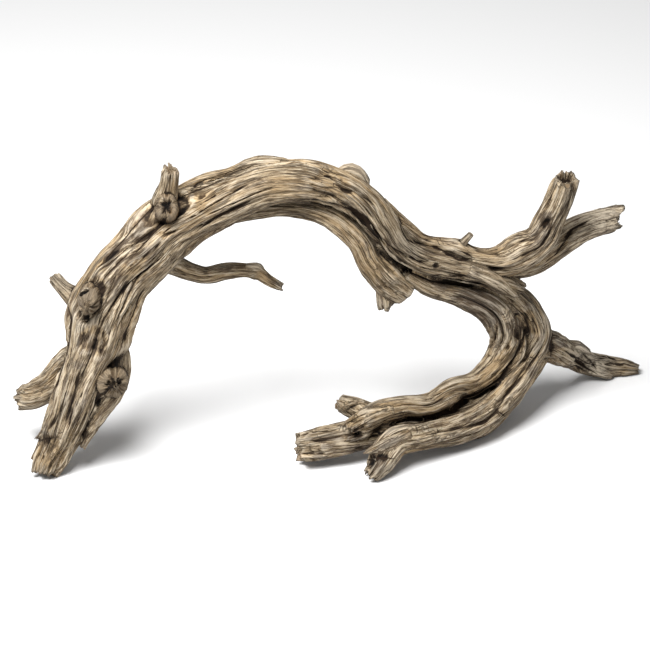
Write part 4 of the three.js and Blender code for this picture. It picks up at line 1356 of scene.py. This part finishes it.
# Each finish ends with its warm tone, its silvered tone (also the painted highlight on crests), its grime
# colour (also the painted shade in grooves, hollows and undersides) and how strongly its splits show.
WEATHERED_WOOD = wood_material(
    "weathered_wood",
    [srgb(78, 62, 45), srgb(126, 108, 84), srgb(164, 145, 117), srgb(193, 175, 147), srgb(217, 203, 180)],
    srgb(178, 150, 110), srgb(216, 204, 184), srgb(64, 47, 32), 0.7,
)
BROKEN_WOOD = wood_material(
    "broken_wood",
    [srgb(70, 55, 39), srgb(114, 95, 72), srgb(148, 128, 100), srgb(176, 158, 130), srgb(200, 186, 162)],
    srgb(158, 118, 76), srgb(206, 193, 172), srgb(72, 54, 38), 0.5,
)
KNOT_WOOD = wood_material(
    "knot_wood",
    [srgb(38, 28, 19), srgb(68, 54, 38), srgb(98, 81, 60), srgb(130, 112, 87), srgb(162, 144, 118)],
    srgb(124, 97, 65), srgb(176, 160, 136), srgb(58, 43, 30), 0.25,
)

wood.data.materials.clear()
for finish in (WEATHERED_WOOD, BROKEN_WOOD, KNOT_WOOD):
    wood.data.materials.append(finish)
broken = read_mark(wood.data, "broken")
knot = read_mark(wood.data, "knot")
for face in wood.data.polygons:
    corners = list(face.vertices)
    if knot[corners].mean() > 0.5:
        face.material_index = 2
    elif broken[corners].mean() > 0.55:
        face.material_index = 1

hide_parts("driftwood")
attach(wood, "root")


# Stage

def stage():
    """A pale floor, soft light from above and the camera at the eye of the set-out."""
    scene = bpy.context.scene
    scene.view_settings.view_transform = "Standard"
    bpy.ops.mesh.primitive_plane_add(size=FLOOR_SIZE)
    floor = bpy.context.object
    floor.name = "floor"
    paper = bpy.data.materials.new("pale_floor")
    paper.use_nodes = True
    shader = paper.node_tree.nodes["Principled BSDF"]
    shader.inputs["Base Color"].default_value = FLOOR_GREY
    shader.inputs["Roughness"].default_value = 0.9
    floor.data.materials.append(paper)
    world = bpy.data.worlds.new("studio")
    world.use_nodes = True
    backdrop = world.node_tree.nodes["Background"]
    backdrop.inputs["Color"].default_value = (1, 1, 1, 1)
    backdrop.inputs["Strength"].default_value = ROOM_LIGHT
    scene.world = world
    lamp = bpy.data.lights.new("softbox", "AREA")
    lamp.shape = "RECTANGLE"
    lamp.size = LAMP_SIZE[0]
    lamp.size_y = LAMP_SIZE[1]
    lamp.energy = LAMP_POWER
    softbox = bpy.data.objects.new("softbox", lamp)
    softbox.location = LAMP_PLACE
    aim = Vector(LAMP_AIM) - softbox.location
    softbox.rotation_euler = aim.to_track_quat("-Z", "Y").to_euler()
    scene.collection.objects.link(softbox)
    lens = bpy.data.cameras.new("eye")
    lens.sensor_width = SENSOR_WIDTH
    lens.lens = SENSOR_WIDTH * EYE_DISTANCE / SHEET_SIDE
    lens.clip_end = 60
    camera = bpy.data.objects.new("eye", lens)
    camera.location = Vector((EYE - ORIGIN) * MM)
    camera.rotation_euler = (math.pi / 2 - EYE_ELEVATION, 0, 0)
    scene.collection.objects.link(camera)
    scene.camera = camera


stage()
